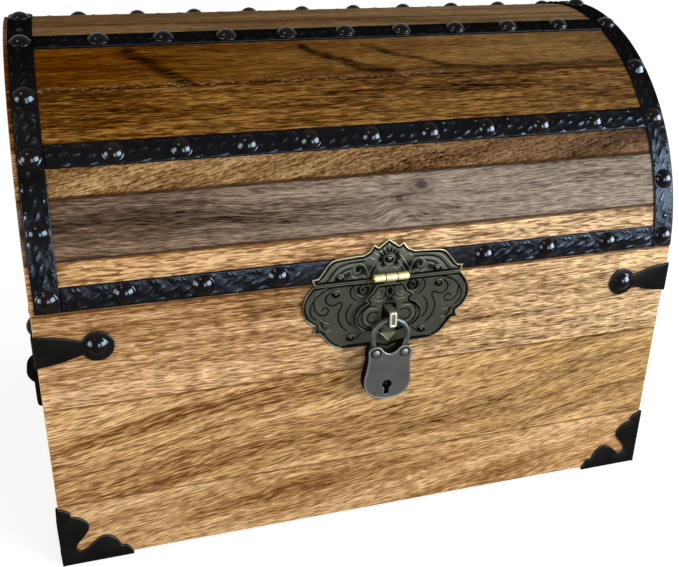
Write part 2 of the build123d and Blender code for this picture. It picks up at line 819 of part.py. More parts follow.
def make_hasp_flap():
    """The hanging flap, with the middle knuckle and the slot that drops over the staple."""
    outline = hasp_sketch(
        flap_half_width,
        -flap_length,
        (False, ((0, flap_neck_shares[0][1]), *flap_neck_shares)),
        (True, flap_lobe_shares),
        (False, flap_foot_shares),
    )
    slot_height = slot_bottom_drop - slot_top_drop
    axis = (front_y - hasp_axis_proud, hasp_axis_z)
    with BuildPart() as flap:
        with BuildSketch(front_plane(hasp_x, hasp_axis_z, flap_back_proud)):
            add(outline)
            with Locations((0, -slot_top_drop - slot_height / 2)):
                Rectangle(2 * slot_half_width, slot_height, mode=Mode.SUBTRACT)
            with Locations((0, -flap_neck_shares[0][1] * flap_length / 2)):
                Rectangle(hasp_knuckle_length, flap_neck_shares[0][1] * flap_length)
        extrude(amount=flap_thickness)
        with BuildSketch(Plane.YZ.offset(hasp_x)):
            with Locations(axis):
                Circle(hasp_knuckle_radius)
        extrude(amount=hasp_knuckle_length / 2, both=True)
        with BuildSketch(Plane.YZ.offset(hasp_x)):
            with Locations(axis):
                Circle(hasp_pin_radius + running_clearance)
        extrude(amount=hasp_knuckle_length, both=True, mode=Mode.SUBTRACT)
    return flap.part


def make_hasp_pin():
    """The pin through the three knuckles."""
    length = 3 * hasp_knuckle_length + 2 * hasp_knuckle_gap
    with BuildPart() as pin:
        with BuildSketch(Plane.YZ.offset(hasp_x)):
            with Locations((front_y - hasp_axis_proud, hasp_axis_z)):
                Circle(hasp_pin_radius)
        extrude(amount=length / 2, both=True)
    return pin.part


# Padlock. Its own plane has the shackle's arc centred on the origin.
padlock_z = (
    parting_z - staple_drop - staple_height / 2 + staple_thickness + shackle_wire_radius + shackle_hang_gap
    - shackle_arc_radius
)
padlock_plane = Plane(
    origin=(hasp_x, front_y - padlock_proud, padlock_z),
    x_dir=(cos(radians(padlock_tilt)), 0, -sin(radians(padlock_tilt))),
    z_dir=(0, -1, 0),
)
case_back = padlock_plane.offset(-case_thickness / 2)
case_front = padlock_plane.offset(case_thickness / 2)
rivets = ((-rivet_side, -rivet_drop), (rivet_side, -rivet_drop))


def case_outline(inset=0.0):
    """The padlock's outline: two ears, a saddle between them and a round-bottomed body."""
    def on_ear(angle):
        return (
            rivet_side + (ear_radius - inset) * cos(radians(angle)),
            -rivet_drop + (ear_radius - inset) * sin(radians(angle)),
        )

    inner, outer = on_ear(ear_inner_angle), on_ear(ear_outer_angle)
    sides = [(u * (case_half_width - inset), -v * (case_depth - inset)) for u, v in case_side_shares]
    with BuildSketch() as outline:
        with BuildLine() as line:
            ThreePointArc(inner, on_ear(90), outer)
            Spline(outer, *sides, tangents=[(0, -1), (-1, 0)])
            mirror(line.line, about=Plane.YZ)
            ThreePointArc((-inner[0], inner[1]), (0, -saddle_drop - inset), inner)
        make_face()
    return outline.sketch


def make_padlock_case():
    """The back and rim of the padlock in one pressed shell, open at the ears, with the key's post."""
    with BuildPart() as case:
        with BuildSketch(case_back):
            add(case_outline())
            with Locations(*rivets):
                Circle(rivet_radius + running_clearance, mode=Mode.SUBTRACT)
        extrude(amount=case_wall)
        with BuildSketch(case_back.offset(case_wall)):
            add(case_outline())
            add(case_outline(case_wall), mode=Mode.SUBTRACT)
            Rectangle(4 * case_half_width, 2 * case_open_drop, mode=Mode.SUBTRACT)
        extrude(amount=case_thickness - 2 * case_wall)
        with BuildSketch(case_back.offset(case_wall)):
            with Locations((0, -keyhole_drop)):
                Circle(key_post_radius)
        extrude(amount=key_post_length)
    return case.part


def make_padlock_front():
    """The padlock's front plate, with the keyhole."""
    with BuildPart() as plate:
        with BuildSketch(case_front):
            add(case_outline())
            with Locations(*rivets):
                Circle(rivet_radius + running_clearance, mode=Mode.SUBTRACT)
            with Locations((0, -keyhole_drop)):
                Circle(keyhole_radius, mode=Mode.SUBTRACT)
            with Locations((0, -(keyhole_drop + keyhole_slot_drop) / 2)):
                Rectangle(keyhole_slot_width, keyhole_slot_drop - keyhole_drop, mode=Mode.SUBTRACT)
        extrude(amount=-case_wall)
    return plate.part


def make_padlock_shackle():
    """The bent wire: an eye on the left rivet, an arc through the staple and a free toe on the right."""
    reach = hypot(rivet_side, rivet_drop)
    leg_length = sqrt(reach**2 - shackle_arc_radius**2)
    leg_angle = degrees(atan2(rivet_drop, rivet_side) - acos(shackle_arc_radius / reach))
    leg_x, leg_y = shackle_arc_radius * cos(radians(leg_angle)), -shackle_arc_radius * sin(radians(leg_angle))
    toe_share = (leg_length - rivet_radius - shackle_toe_gap) / leg_length
    toe = (leg_x + (rivet_side - leg_x) * toe_share, leg_y + (-rivet_drop - leg_y) * toe_share)
    with BuildPart() as shackle:
        with BuildLine(padlock_plane) as path:
            Line(toe, (leg_x, leg_y))
            CenterArc((0, 0), shackle_arc_radius, -leg_angle, 180 + 2 * leg_angle)
            Line((-leg_x, leg_y), rivets[0])
        with BuildSketch(Plane(origin=path.line @ 0, z_dir=path.line % 0)):
            Circle(shackle_wire_radius)
        sweep()
        with BuildSketch(padlock_plane):
            with Locations(rivets[0]):
                Circle(shackle_eye_radius)
        extrude(amount=shackle_eye_thickness / 2, both=True)
        with BuildSketch(padlock_plane):
            with Locations(rivets[0]):
                Circle(rivet_radius + running_clearance)
        extrude(amount=case_thickness / 2, both=True, mode=Mode.SUBTRACT)
    return shackle.part


def make_padlock_rivets():
    """The two rivets through the ears. The shackle turns on the left one."""
    with BuildPart() as pins:
        with BuildSketch(case_back):
            with Locations(*rivets):
                Circle(rivet_radius)
        extrude(amount=case_thickness)
        with BuildSketch(case_front):
            with Locations(*rivets):
                Circle(rivet_head_radius)
        extrude(amount=rivet_head_height)
    return pins.part


def make_padlock_latch():
    """The sliding latch on the inside of the back, under the shackle's toe."""
    with BuildPart() as latch:
        with BuildSketch(case_back.offset(case_wall)):
            with Locations((latch_x, -latch_drop)):
                Rectangle(latch_width, latch_height)
        extrude(amount=latch_thickness)
    return latch.part


# Hinges
def make_hinge_leaf(centre_x, on_lid):
    """A leaf let into the wood's edge. The body's leaf has two knuckles and the lid's leaf the middle one."""
    knuckle_length = (hinge_length - 2 * hinge_knuckle_gap) / 3
    spans = (0,) if on_lid else (-1, 1)
    knuckles = [centre_x + span * (knuckle_length + hinge_knuckle_gap) for span in spans]
    bottom = lid_bottom if on_lid else parting_z - leaf_thickness
    face = lid_bottom if on_lid else parting_z
    down = -1 if on_lid else 1
    with BuildPart() as leaf:
        with BuildSketch(Plane.XY.offset(bottom)):
            with Locations((centre_x, back_y - leaf_width / 2)):
                Rectangle(hinge_length, leaf_width)
            with Locations(*[(x, back_y + hinge_offset / 2) for x in knuckles]):
                Rectangle(knuckle_length, hinge_offset)
        extrude(amount=leaf_thickness)
        for x in knuckles:
            with BuildSketch(Plane.YZ.offset(x)):
                with Locations((hinge_y, hinge_z)):
                    Circle(hinge_knuckle_radius)
            extrude(amount=knuckle_length / 2, both=True)
        with BuildSketch(Plane.YZ.offset(centre_x)):
            with Locations((hinge_y, hinge_z)):
                Circle(hinge_pin_radius + running_clearance)
        extrude(amount=hinge_length, both=True, mode=Mode.SUBTRACT)
        seats = [
            Plane(origin=(x, y, face), x_dir=(1, 0, 0), z_dir=(0, 0, down))
            for x, y in hinge_screw_places
            if abs(x - centre_x) < hinge_length / 2
        ]
        with Locations(*seats):
            CounterSinkHole(
                hinge_screw_hole_radius,
                hinge_screw_head_radius + fastener_clearance,
                depth=2 * leaf_thickness,
                counter_sink_angle=90,
            )
    return leaf.part


def make_hinge_pins():
    """The two hinge pins, fixed in the body's knuckles."""
    with BuildPart() as pins:
        with BuildSketch(Plane.YZ):
            with Locations((hinge_y, hinge_z)):
                Circle(hinge_pin_radius)
        extrude(amount=hinge_x + hinge_length / 2 + hinge_pin_overhang, both=True)
        with BuildSketch(Plane.YZ):
            with Locations((hinge_y, hinge_z)):
                Circle(hinge_knuckle_radius)
        extrude(amount=hinge_x - hinge_length / 2 - hinge_pin_overhang, both=True, mode=Mode.SUBTRACT)
    return pins.part


# Handles
def make_handle_plate(wall):
    """The plate on an end, with the two lugs that hold the bail."""
    side = -1 if wall == "left" else 1
    face_x = side * half_length
    inner_face = handle_lug_spacing / 2 - lug_width / 2
    with BuildPart() as plate:
        with BuildSketch(wall_plane(wall, chest_centre_y, handle_z)):
            RectangleRounded(handle_plate_length, handle_plate_height, handle_plate_corner)
        extrude(amount=handle_plate_thickness)
        for step in (-1, 1):
            lug_y = chest_centre_y + step * handle_lug_spacing / 2
            lug_plane = Plane(origin=(face_x, lug_y, handle_z), x_dir=(side, 0, 0), z_dir=(0, -side, 0))
            with BuildSketch(lug_plane):
                with BuildLine():
                    ThreePointArc((0, lug_half_height), (lug_reach, 0), (0, -lug_half_height))
                    Line((0, -lug_half_height), (0, lug_half_height))
                make_face()
            extrude(amount=lug_width / 2, both=True)
            hole = Plane(
                origin=(face_x + side * handle_axis_proud, chest_centre_y + step * inner_face, handle_z),
                z_dir=(0, step, 0),
            )
            with BuildSketch(hole):
                Circle(bail_radius + running_clearance)
            extrude(amount=bail_end_depth + fastener_clearance, mode=Mode.SUBTRACT)
        with Locations(*[wall_plane(wall, y, handle_z) for y in handle_screw_places]):
            Cylinder(screw_hole_radius, 2 * screw_shank_length, mode=Mode.SUBTRACT)
    return plate.part


def make_handle_bail(wall):
    """The drop handle: one bent rod whose ends turn in the lugs."""
    side = -1 if wall == "left" else 1
    rod_x = side * (half_length + handle_axis_proud)
    end = handle_lug_spacing / 2 - lug_width / 2 + bail_end_depth
    arm = handle_lug_spacing / 2 - lug_width / 2 - bail_lug_gap - bail_radius
    shoulder_radius = bail_radius + fastener_clearance
    with BuildPart() as bail:
        with BuildLine() as path:
            FilletPolyline(
                (rod_x, chest_centre_y - end, handle_z),
                (rod_x, chest_centre_y - arm, handle_z),
                (rod_x, chest_centre_y - arm, handle_z - bail_drop),
                (rod_x, chest_centre_y + arm, handle_z - bail_drop),
                (rod_x, chest_centre_y + arm, handle_z),
                (rod_x, chest_centre_y + end, handle_z),
                radius=[shoulder_radius, bail_corner_radius, bail_corner_radius, shoulder_radius],
            )
        with BuildSketch(Plane(origin=path.line @ 0, z_dir=path.line % 0)):
            Circle(bail_radius)
        sweep()
    return bail.part


# Screws
def make_lid_screws():
    """The hasp's three screws and the hinges' four, all in the lid."""
    with BuildPart() as screws:
        with Locations(*[lid_plane(x, angle, lid_plate_radius) for x, angle in lid_screw_places]):
            add(make_round_screw())
        with Locations(*[Plane(origin=(x, y, lid_bottom), z_dir=(0, 0, -1)) for x, y in hinge_screw_places]):
            add(make_flat_screw())
    return screws.part


def make_body_screws():
    """The hasp's four screws, the hinges' four and the handles' eight, all in the body."""
    with BuildPart() as screws:
        with Locations(*[front_plane(x, z, body_plate_thickness) for x, z in body_screw_places]):
            add(make_round_screw())
        for wall in ("left", "right"):
            seats = [wall_plane(wall, y, handle_z, handle_plate_thickness) for y in handle_screw_places]
            with Locations(*seats):
                add(make_round_screw())
        with Locations(*[(x, y, parting_z) for x, y in hinge_screw_places]):
            add(make_flat_screw())
    return screws.part


corners = {"front_left": (-1, -1), "front_right": (1, -1), "back_left": (-1, 1), "back_right": (1, 1)}
strap_names = ("front_low", "front_middle", "front_high", "back_high", "back_middle", "back_low")

pieces = {"base_board": make_base_board(), **make_front_boards(), "back_panel": make_back_panel()}
pieces.update({f"{wall}_end_panel": make_end_panel(wall) for wall in ("left", "right")})
pieces.update({f"lid_stave_{number + 1:02d}": make_stave(number) for number in range(stave_count)})
pieces.update({"lid_end_left": make_lid_end(-1), "lid_end_right": make_lid_end(1)})
pieces.update({"lid_band_left": make_lid_band(left_band_x), "lid_band_right": make_lid_band(right_band_x)})
for name, angle in zip(strap_names, strap_angles):
    pieces[f"lid_strap_{name}"] = make_cross_strap(angle)
pieces["lid_nails"] = make_lid_nails()
pieces.update({f"corner_iron_{name}": make_corner_iron(*signs) for name, signs in corners.items()})
pieces.update({f"corner_brace_{name}": make_corner_brace(*signs) for name, signs in corners.items()})
pieces["brace_nails"] = make_brace_nails()
pieces["hasp_lid_plate"] = make_hasp_lid_plate()
pieces["hasp_body_plate"] = make_hasp_body_plate()
pieces["hasp_staple"] = make_hasp_staple()
pieces["hasp_flap"] = make_hasp_flap()
pieces["hasp_pin"] = make_hasp_pin()
pieces["padlock_case"] = make_padlock_case()
pieces["padlock_front_plate"] = make_padlock_front()
pieces["padlock_shackle"] = make_padlock_shackle()
pieces["padlock_rivets"] = make_padlock_rivets()
pieces["padlock_latch"] = make_padlock_latch()
for side, name in ((-1, "left"), (1, "right")):
    pieces[f"hinge_body_leaf_{name}"] = make_hinge_leaf(side * hinge_x, False)
    pieces[f"hinge_lid_leaf_{name}"] = make_hinge_leaf(side * hinge_x, True)
    pieces[f"handle_plate_{name}"] = make_handle_plate(name)
    pieces[f"handle_bail_{name}"] = make_handle_bail(name)
pieces["hinge_pins"] = make_hinge_pins()
pieces["lid_screws"] = make_lid_screws()
pieces["body_screws"] = make_body_screws()

os.makedirs("parts", exist_ok=True)
for name, piece in pieces.items():
    piece.label = name
    export_step(piece, f"parts/{name}.step")
print(len(pieces), "pieces written")
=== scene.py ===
"""The looks of a domed wooden treasure chest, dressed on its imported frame."""

from __future__ import annotations

import logging
import math
from dataclasses import dataclass
from enum import Enum
from typing import Callable, Sequence

import bpy
import numpy as np
from mathutils import Matrix, Vector

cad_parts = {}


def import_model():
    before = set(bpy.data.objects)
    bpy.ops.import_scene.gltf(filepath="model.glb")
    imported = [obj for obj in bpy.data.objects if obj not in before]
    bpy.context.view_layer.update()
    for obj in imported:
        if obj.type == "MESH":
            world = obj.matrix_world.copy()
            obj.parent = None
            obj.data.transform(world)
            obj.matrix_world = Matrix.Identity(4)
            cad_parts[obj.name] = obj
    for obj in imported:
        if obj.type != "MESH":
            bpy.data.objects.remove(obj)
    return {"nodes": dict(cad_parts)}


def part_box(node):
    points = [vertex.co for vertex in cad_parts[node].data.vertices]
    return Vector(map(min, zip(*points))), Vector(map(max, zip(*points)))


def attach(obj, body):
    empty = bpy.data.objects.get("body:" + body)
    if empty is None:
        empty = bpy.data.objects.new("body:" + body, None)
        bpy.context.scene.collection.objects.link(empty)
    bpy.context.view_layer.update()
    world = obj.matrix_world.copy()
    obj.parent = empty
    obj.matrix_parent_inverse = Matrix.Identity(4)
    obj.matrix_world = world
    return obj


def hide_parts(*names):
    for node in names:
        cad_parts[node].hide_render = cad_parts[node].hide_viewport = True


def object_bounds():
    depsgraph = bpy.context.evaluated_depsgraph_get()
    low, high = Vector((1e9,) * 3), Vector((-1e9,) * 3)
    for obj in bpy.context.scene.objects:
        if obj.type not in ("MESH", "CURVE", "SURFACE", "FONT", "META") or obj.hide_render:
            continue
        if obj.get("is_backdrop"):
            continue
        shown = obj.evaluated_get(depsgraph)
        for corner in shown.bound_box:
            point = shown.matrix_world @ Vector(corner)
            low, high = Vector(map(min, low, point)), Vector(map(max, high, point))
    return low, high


LOG = logging.getLogger("chest")

# Metres in a millimetre: all sizes are in millimetres, but for the floor's and the lamps'
METRES = 0.001
# How worn a plain face is, from 0 to 1
PLAIN = 0.3
# Angle in degrees past which an edge of a domed head is sharp
HEAD_CREASE = 50.0
# Shares of the way from a plate's middle to its rim: its first row, its last rows and its underside's rows
FIRST_SHARE = 0.02
RIM_SHARES = (0.97, 0.98, 0.99, 1.0)
UNDER_SHARES = (1.0, 0.75, 0.5, 0.25)
# Irons and metals shine by their metallic share alone, so that no edge of them turns white
QUIET_EDGE = {"Specular IOR Level": 0.0, "Specular Tint": (0.0, 0.0, 0.0, 1.0)}

Array = np.ndarray
Material = bpy.types.Material
Colour = tuple[float, float, float]
Point = tuple[float, float]
Place = Callable[[Array, Array, Array], Array]
Lift = Callable[[Array, Array], tuple[Array, Array]]


class Body(Enum):
    """The rigid bodies that new pieces ride on."""

    CHEST = "chest_body"
    LID = "lid"
    FLAP = "hasp_flap"
    SHACKLE = "padlock_shackle"
    CASE = "padlock_case"


class Slot(Enum):
    """The record's material slots, passed with new pieces but not used."""

    IRON = "black_iron"
    NAIL = "nail_metal"
    BRONZE = "antique_bronze"
    PALE_STEEL = "pale_steel"
    BRASS = "pin_brass"
    PADLOCK = "padlock_steel"
    SCREW = "screw_metal"


class LampUse(Enum):
    """What a lamp is for."""

    WINDOW = "window_in_gloss"
    SOFT = "soft_light"


class Run(Enum):
    """How a stretch of an outline goes through its points."""

    STRAIGHT = "straight"
    CURVED = "curved"


# Shader expressions


class Value:
    """A number, vector or colour in a shader, on which Python's operators add Math nodes."""

    def __init__(self, graph: ShaderGraph, socket: bpy.types.NodeSocket) -> None:
        """Keeps the graph and the socket that carries the value."""
        self.graph = graph
        self.socket = socket

    def __add__(self, other: Number) -> Value:
        """Sum."""
        return self.graph.maths("ADD", self, other)

    def __radd__(self, other: Number) -> Value:
        """Sum, with the number first."""
        return self.graph.maths("ADD", other, self)

    def __sub__(self, other: Number) -> Value:
        """Difference."""
        return self.graph.maths("SUBTRACT", self, other)

    def __rsub__(self, other: Number) -> Value:
        """Difference, with the number first."""
        return self.graph.maths("SUBTRACT", other, self)

    def __mul__(self, other: Number) -> Value:
        """Product."""
        return self.graph.maths("MULTIPLY", self, other)

    def __rmul__(self, other: Number) -> Value:
        """Product, with the number first."""
        return self.graph.maths("MULTIPLY", other, self)

    def __truediv__(self, other: Number) -> Value:
        """Quotient."""
        return self.graph.maths("DIVIDE", self, other)

    def __pow__(self, other: Number) -> Value:
        """Power."""
        return self.graph.maths("POWER", self, other)

    def __abs__(self) -> Value:
        """Absolute value."""
        return self.graph.maths("ABSOLUTE", self)

    def sibling(self, name: str) -> Value:
        """Another output of the same node."""
        return Value(self.graph, self.socket.node.outputs[name])

    def between(self, low: float, high: float) -> Value:
        """Goes smoothly from 0 at low to 1 at high.

        Args:
            low: Value that gives 0.
            high: Value that gives 1. It may be less than low, which turns the step round.

        Returns:
            The smooth step.
        """
        step = {"interpolation_type": "SMOOTHSTEP"}
        ends = (low, high, 0.0, 1.0) if low < high else (high, low, 1.0, 0.0)
        inputs = dict(zip(("Value", "From Min", "From Max", "To Min", "To Max"), (self, *ends)))
        return self.graph.node("ShaderNodeMapRange", step, inputs, "Result")


Number = Value | float


class ShaderGraph:
    """The node tree of one material, filled by expressions."""

    def __init__(self, name: str, owner: bpy.types.World | None = None) -> None:
        """Empties the node tree of a new material, or of a world.

        Args:
            name: The material's name.
            owner: The world, where it is one that gets the nodes.
        """
        self.material = owner or bpy.data.materials.new(name)
        self.material.use_nodes = True
        self.tree = self.material.node_tree
        self.tree.nodes.clear()

    def node(
        self, kind: str, settings: dict | None = None, inputs: dict | None = None, output: str | int = 0
    ) -> Value:
        """Adds a node.

        Args:
            kind: The node's type.
            settings: Its own settings, set first. A ramp's stops are (position, colour) pairs.
            inputs: Values or links of its sockets, by name or number.
            output: The name or number of the output wanted.

        Returns:
            The output as a value.
        """
        made = self.tree.nodes.new(kind)
        for key, setting in (settings or {}).items():
            if key == "stops":
                self._set_stops(made, setting)
            else:
                setattr(made, key, setting)
        for key, given in (inputs or {}).items():
            if isinstance(given, Value):
                self.tree.links.new(given.socket, made.inputs[key])
            else:
                made.inputs[key].default_value = given
        return Value(self, made.outputs[output]) if made.outputs else Value(self, made.inputs[0])

    @staticmethod
    def _set_stops(made: bpy.types.Node, stops: Sequence[tuple[float, Colour]]) -> None:
        """Gives a ramp its stops."""
        elements = made.color_ramp.elements
        while len(elements) < len(stops):
            elements.new(0.5)
        for element, (position, colour) in zip(elements, stops):
            element.position = position
            element.color = (*colour, 1.0)

    def maths(self, operation: str, *values: Number) -> Value:
        """A Math node on one to three values."""
        return self.node("ShaderNodeMath", {"operation": operation}, dict(enumerate(values)))

    def vector(self, x: Number, y: Number, z: Number) -> Value:
        """Three numbers as a vector."""
        return self.node("ShaderNodeCombineXYZ", None, {"X": x, "Y": y, "Z": z})

    def mix(self, share: Number, low: Value | Colour, high: Value | Colour) -> Value:
        """Two colours mixed.

        Args:
            share: 0 gives low and 1 gives high.
            low: First colour.
            high: Second colour.

        Returns:
            The mixed colour.
        """
        first, second = (c if isinstance(c, Value) else (*c, 1.0) for c in (low, high))
        settings = {"data_type": "RGBA", "clamp_factor": True}
        return self.node("ShaderNodeMix", settings, {0: share, 6: first, 7: second}, 2)

    def tint(self, colour: Value | Colour, level: Value) -> Value:
        """A colour made lighter or darker by a level around 1."""
        inputs = {0: colour, "Scale": level}
        return self.node("ShaderNodeVectorMath", {"operation": "SCALE"}, inputs, "Vector")

    def noise(self, where: Value, scale: float, detail: float = 2.0, roughness: float = 0.5) -> Value:
        """Cloudy noise about 0.5 at a point, from its features per unit, its octaves and the finer ones' share."""
        inputs = {"Vector": where, "Scale": scale, "Detail": detail, "Roughness": roughness}
        return self.node("ShaderNodeTexNoise", None, inputs, "Fac")

    def ramp(self, share: Value, stops: Sequence[tuple[float, Colour]]) -> Value:
        """A colour ramp."""
        return self.node("ShaderNodeValToRGB", {"stops": stops}, {"Fac": share}, "Color")

    def attribute(self, name: str) -> Value:
        """A number that the mesh carries at its points."""
        return self.node("ShaderNodeAttribute", {"attribute_name": name}, None, "Fac")

    def seen_directly(self) -> Value:
        """1 for what the camera sees straight on, in gloss or through glass, and 0 in soft light."""
        path = self.node("ShaderNodeLightPath")
        camera, gloss, glass = (path.sibling(f"Is {kind} Ray") for kind in ("Camera", "Glossy", "Transmission"))
        return self.maths("MAXIMUM", self.maths("MAXIMUM", camera, gloss), glass)

    def millimetres(self) -> tuple[Value, Value, Value]:
        """The point in the row frame, in millimetres, as three numbers."""
        where = self.node("ShaderNodeTexCoord", None, None, "Object")
        scaled = self.node("ShaderNodeVectorMath", {"operation": "SCALE"}, {0: where, "Scale": 1.0 / METRES}, "Vector")
        split = self.node("ShaderNodeSeparateXYZ", None, {0: scaled})
        return split.sibling("X"), split.sibling("Y"), split.sibling("Z")

    def surface(
        self, base: Value, roughness: Value, metallic: float, relief: Value, relief_depth: float, fixed: dict
    ) -> Material:
        """Joins the values to a Principled surface.

        Args:
            base: Base colour.
            roughness: Roughness.
            metallic: Metallic share.
            relief: Height of the fine relief, from 0 to 1.
            relief_depth: Height in millimetres that a relief of 1 stands for.
            fixed: Other sockets, which are the same all over.

        Returns:
            The finished material.
        """
        bump = {"Height": relief, "Strength": 1.0, "Distance": relief_depth * METRES}
        normal = self.node("ShaderNodeBump", None, bump, "Normal")
        inputs = {"Base Color": base, "Roughness": roughness, "Metallic": metallic, "Normal": normal, **fixed}
        shader = self.node("ShaderNodeBsdfPrincipled", None, inputs, "BSDF")
        self.node("ShaderNodeOutputMaterial", None, {"Surface": shader})
        return self.material


def paint(red: float, green: float, blue: float) -> Colour:
    """A colour as the eye reads it, 0 to 255, turned into the shader's linear light."""
    shares = (red / 255, green / 255, blue / 255)
    return tuple(s / 12.92 if s <= 0.04045 else ((s + 0.055) / 1.055) ** 2.4 for s in shares)


# Curves and surfaces

Runs = tuple[tuple[Run, tuple[Point, ...]], ...]


def flowing(points: Sequence[Point] | Array, per_span: int = 8) -> Array:
    """A smooth line through points.

    Each span is the cubic that leaves and reaches its points along the chord of their neighbours.

    Args:
        points: Points of the line.
        per_span: Steps in each span.

    Returns:
        The line's points.
    """
    given = np.asarray(points, float)
    padded = np.vstack([2 * given[0] - given[1], given, 2 * given[-1] - given[-2]])
    t = np.linspace(0, 1, per_span, endpoint=False)[None, :, None]
    p0, p1, p2, p3 = (padded[i : len(given) - 1 + i][:, None, :] for i in range(4))
    square, cube = 2 * p0 - 5 * p1 + 4 * p2 - p3, 3 * p1 - p0 - 3 * p2 + p3
    line = 0.5 * (2 * p1 + (p2 - p0) * t + square * t**2 + cube * t**3)
    return np.vstack([line.reshape(-1, given.shape[1]), given[-1]])


def evenly(line: Array, count: int) -> Array:
    """The closed line at even steps of its length, without its start repeated.

    Args:
        line: Points of the line.
        count: Points wanted.

    Returns:
        The new points.
    """
    whole = looped(line)
    length = np.concatenate([[0], np.cumsum(np.linalg.norm(np.diff(whole, axis=0), axis=1))])
    at = np.linspace(0, length[-1], count, endpoint=False)
    return np.stack([np.interp(at, length, whole[:, k]) for k in range(whole.shape[1])], axis=1)


def looped(line: Array) -> Array:
    """The line with its start repeated at its end."""
    return np.vstack([line, line[:1]])


def circle(count: int) -> Array:
    """Points of the unit circle, once round."""
    turn = np.linspace(0, 2 * np.pi, count, endpoint=False)
    return np.stack([np.cos(turn), np.sin(turn)], 1)


def rounded_box(half_size: Point, power: float, count: int) -> Array:
    """A rectangle with rounded corners: a superellipse, the unit circle's coordinates raised to a power."""
    unit = circle(count)
    return np.sign(unit) * np.abs(unit) ** power * half_size


def mirrored_outline(runs: Runs) -> Array:
    """The closed outline whose right half goes through the given runs.

    Args:
        runs: Stretches of the right half, from its top middle to its foot's middle.

    Returns:
        The outline's points, without its start repeated.
    """
    half = [flowing(points) if kind is Run.CURVED else np.asarray(points, float) for kind, points in runs]
    right = np.vstack(half)
    keep = np.concatenate([[True], np.linalg.norm(np.diff(right, axis=0), axis=1) > 1e-6])
    right = right[keep]
    left = right[::-1] * (-1, 1)
    return np.vstack([right, left[1:-1]])


def distance_to(x: Array, y: Array, line: Array) -> Array:
    """Least distance from each point to a line's segments.

    The nearest point of a segment is its start plus the clamped share of the way to its end.

    Args:
        x: First coordinates.
        y: Second coordinates.
        line: The line's points.

    Returns:
        The distances.
    """
    nearest = np.full(x.shape, np.inf)
    for (ax, ay), (bx, by) in zip(line[:-1], line[1:]):
        dx, dy = bx - ax, by - ay
        share = np.clip(((x - ax) * dx + (y - ay) * dy) / max(dx * dx + dy * dy, 1e-12), 0, 1)
        nearest = np.minimum(nearest, (x - ax - share * dx) ** 2 + (y - ay - share * dy) ** 2)
    return np.sqrt(nearest)


def ridge(distance: Array, half_width: float) -> Array:
    """A rounded ridge: the squared cosine of the distance, from 1 on the line to 0 at its half width."""
    return np.cos(np.clip(distance / half_width, 0, 1) * np.pi / 2) ** 2


def edge_drop(distance: Array, radius: float) -> Array:
    """How far a rounded edge falls below the face: the arc of its radius, from 0 inside to the radius at the rim."""
    inside = 1 - np.clip(distance / radius, 0, 1)
    return radius * (1 - np.sqrt(np.clip(1 - inside**2, 0, 1)))


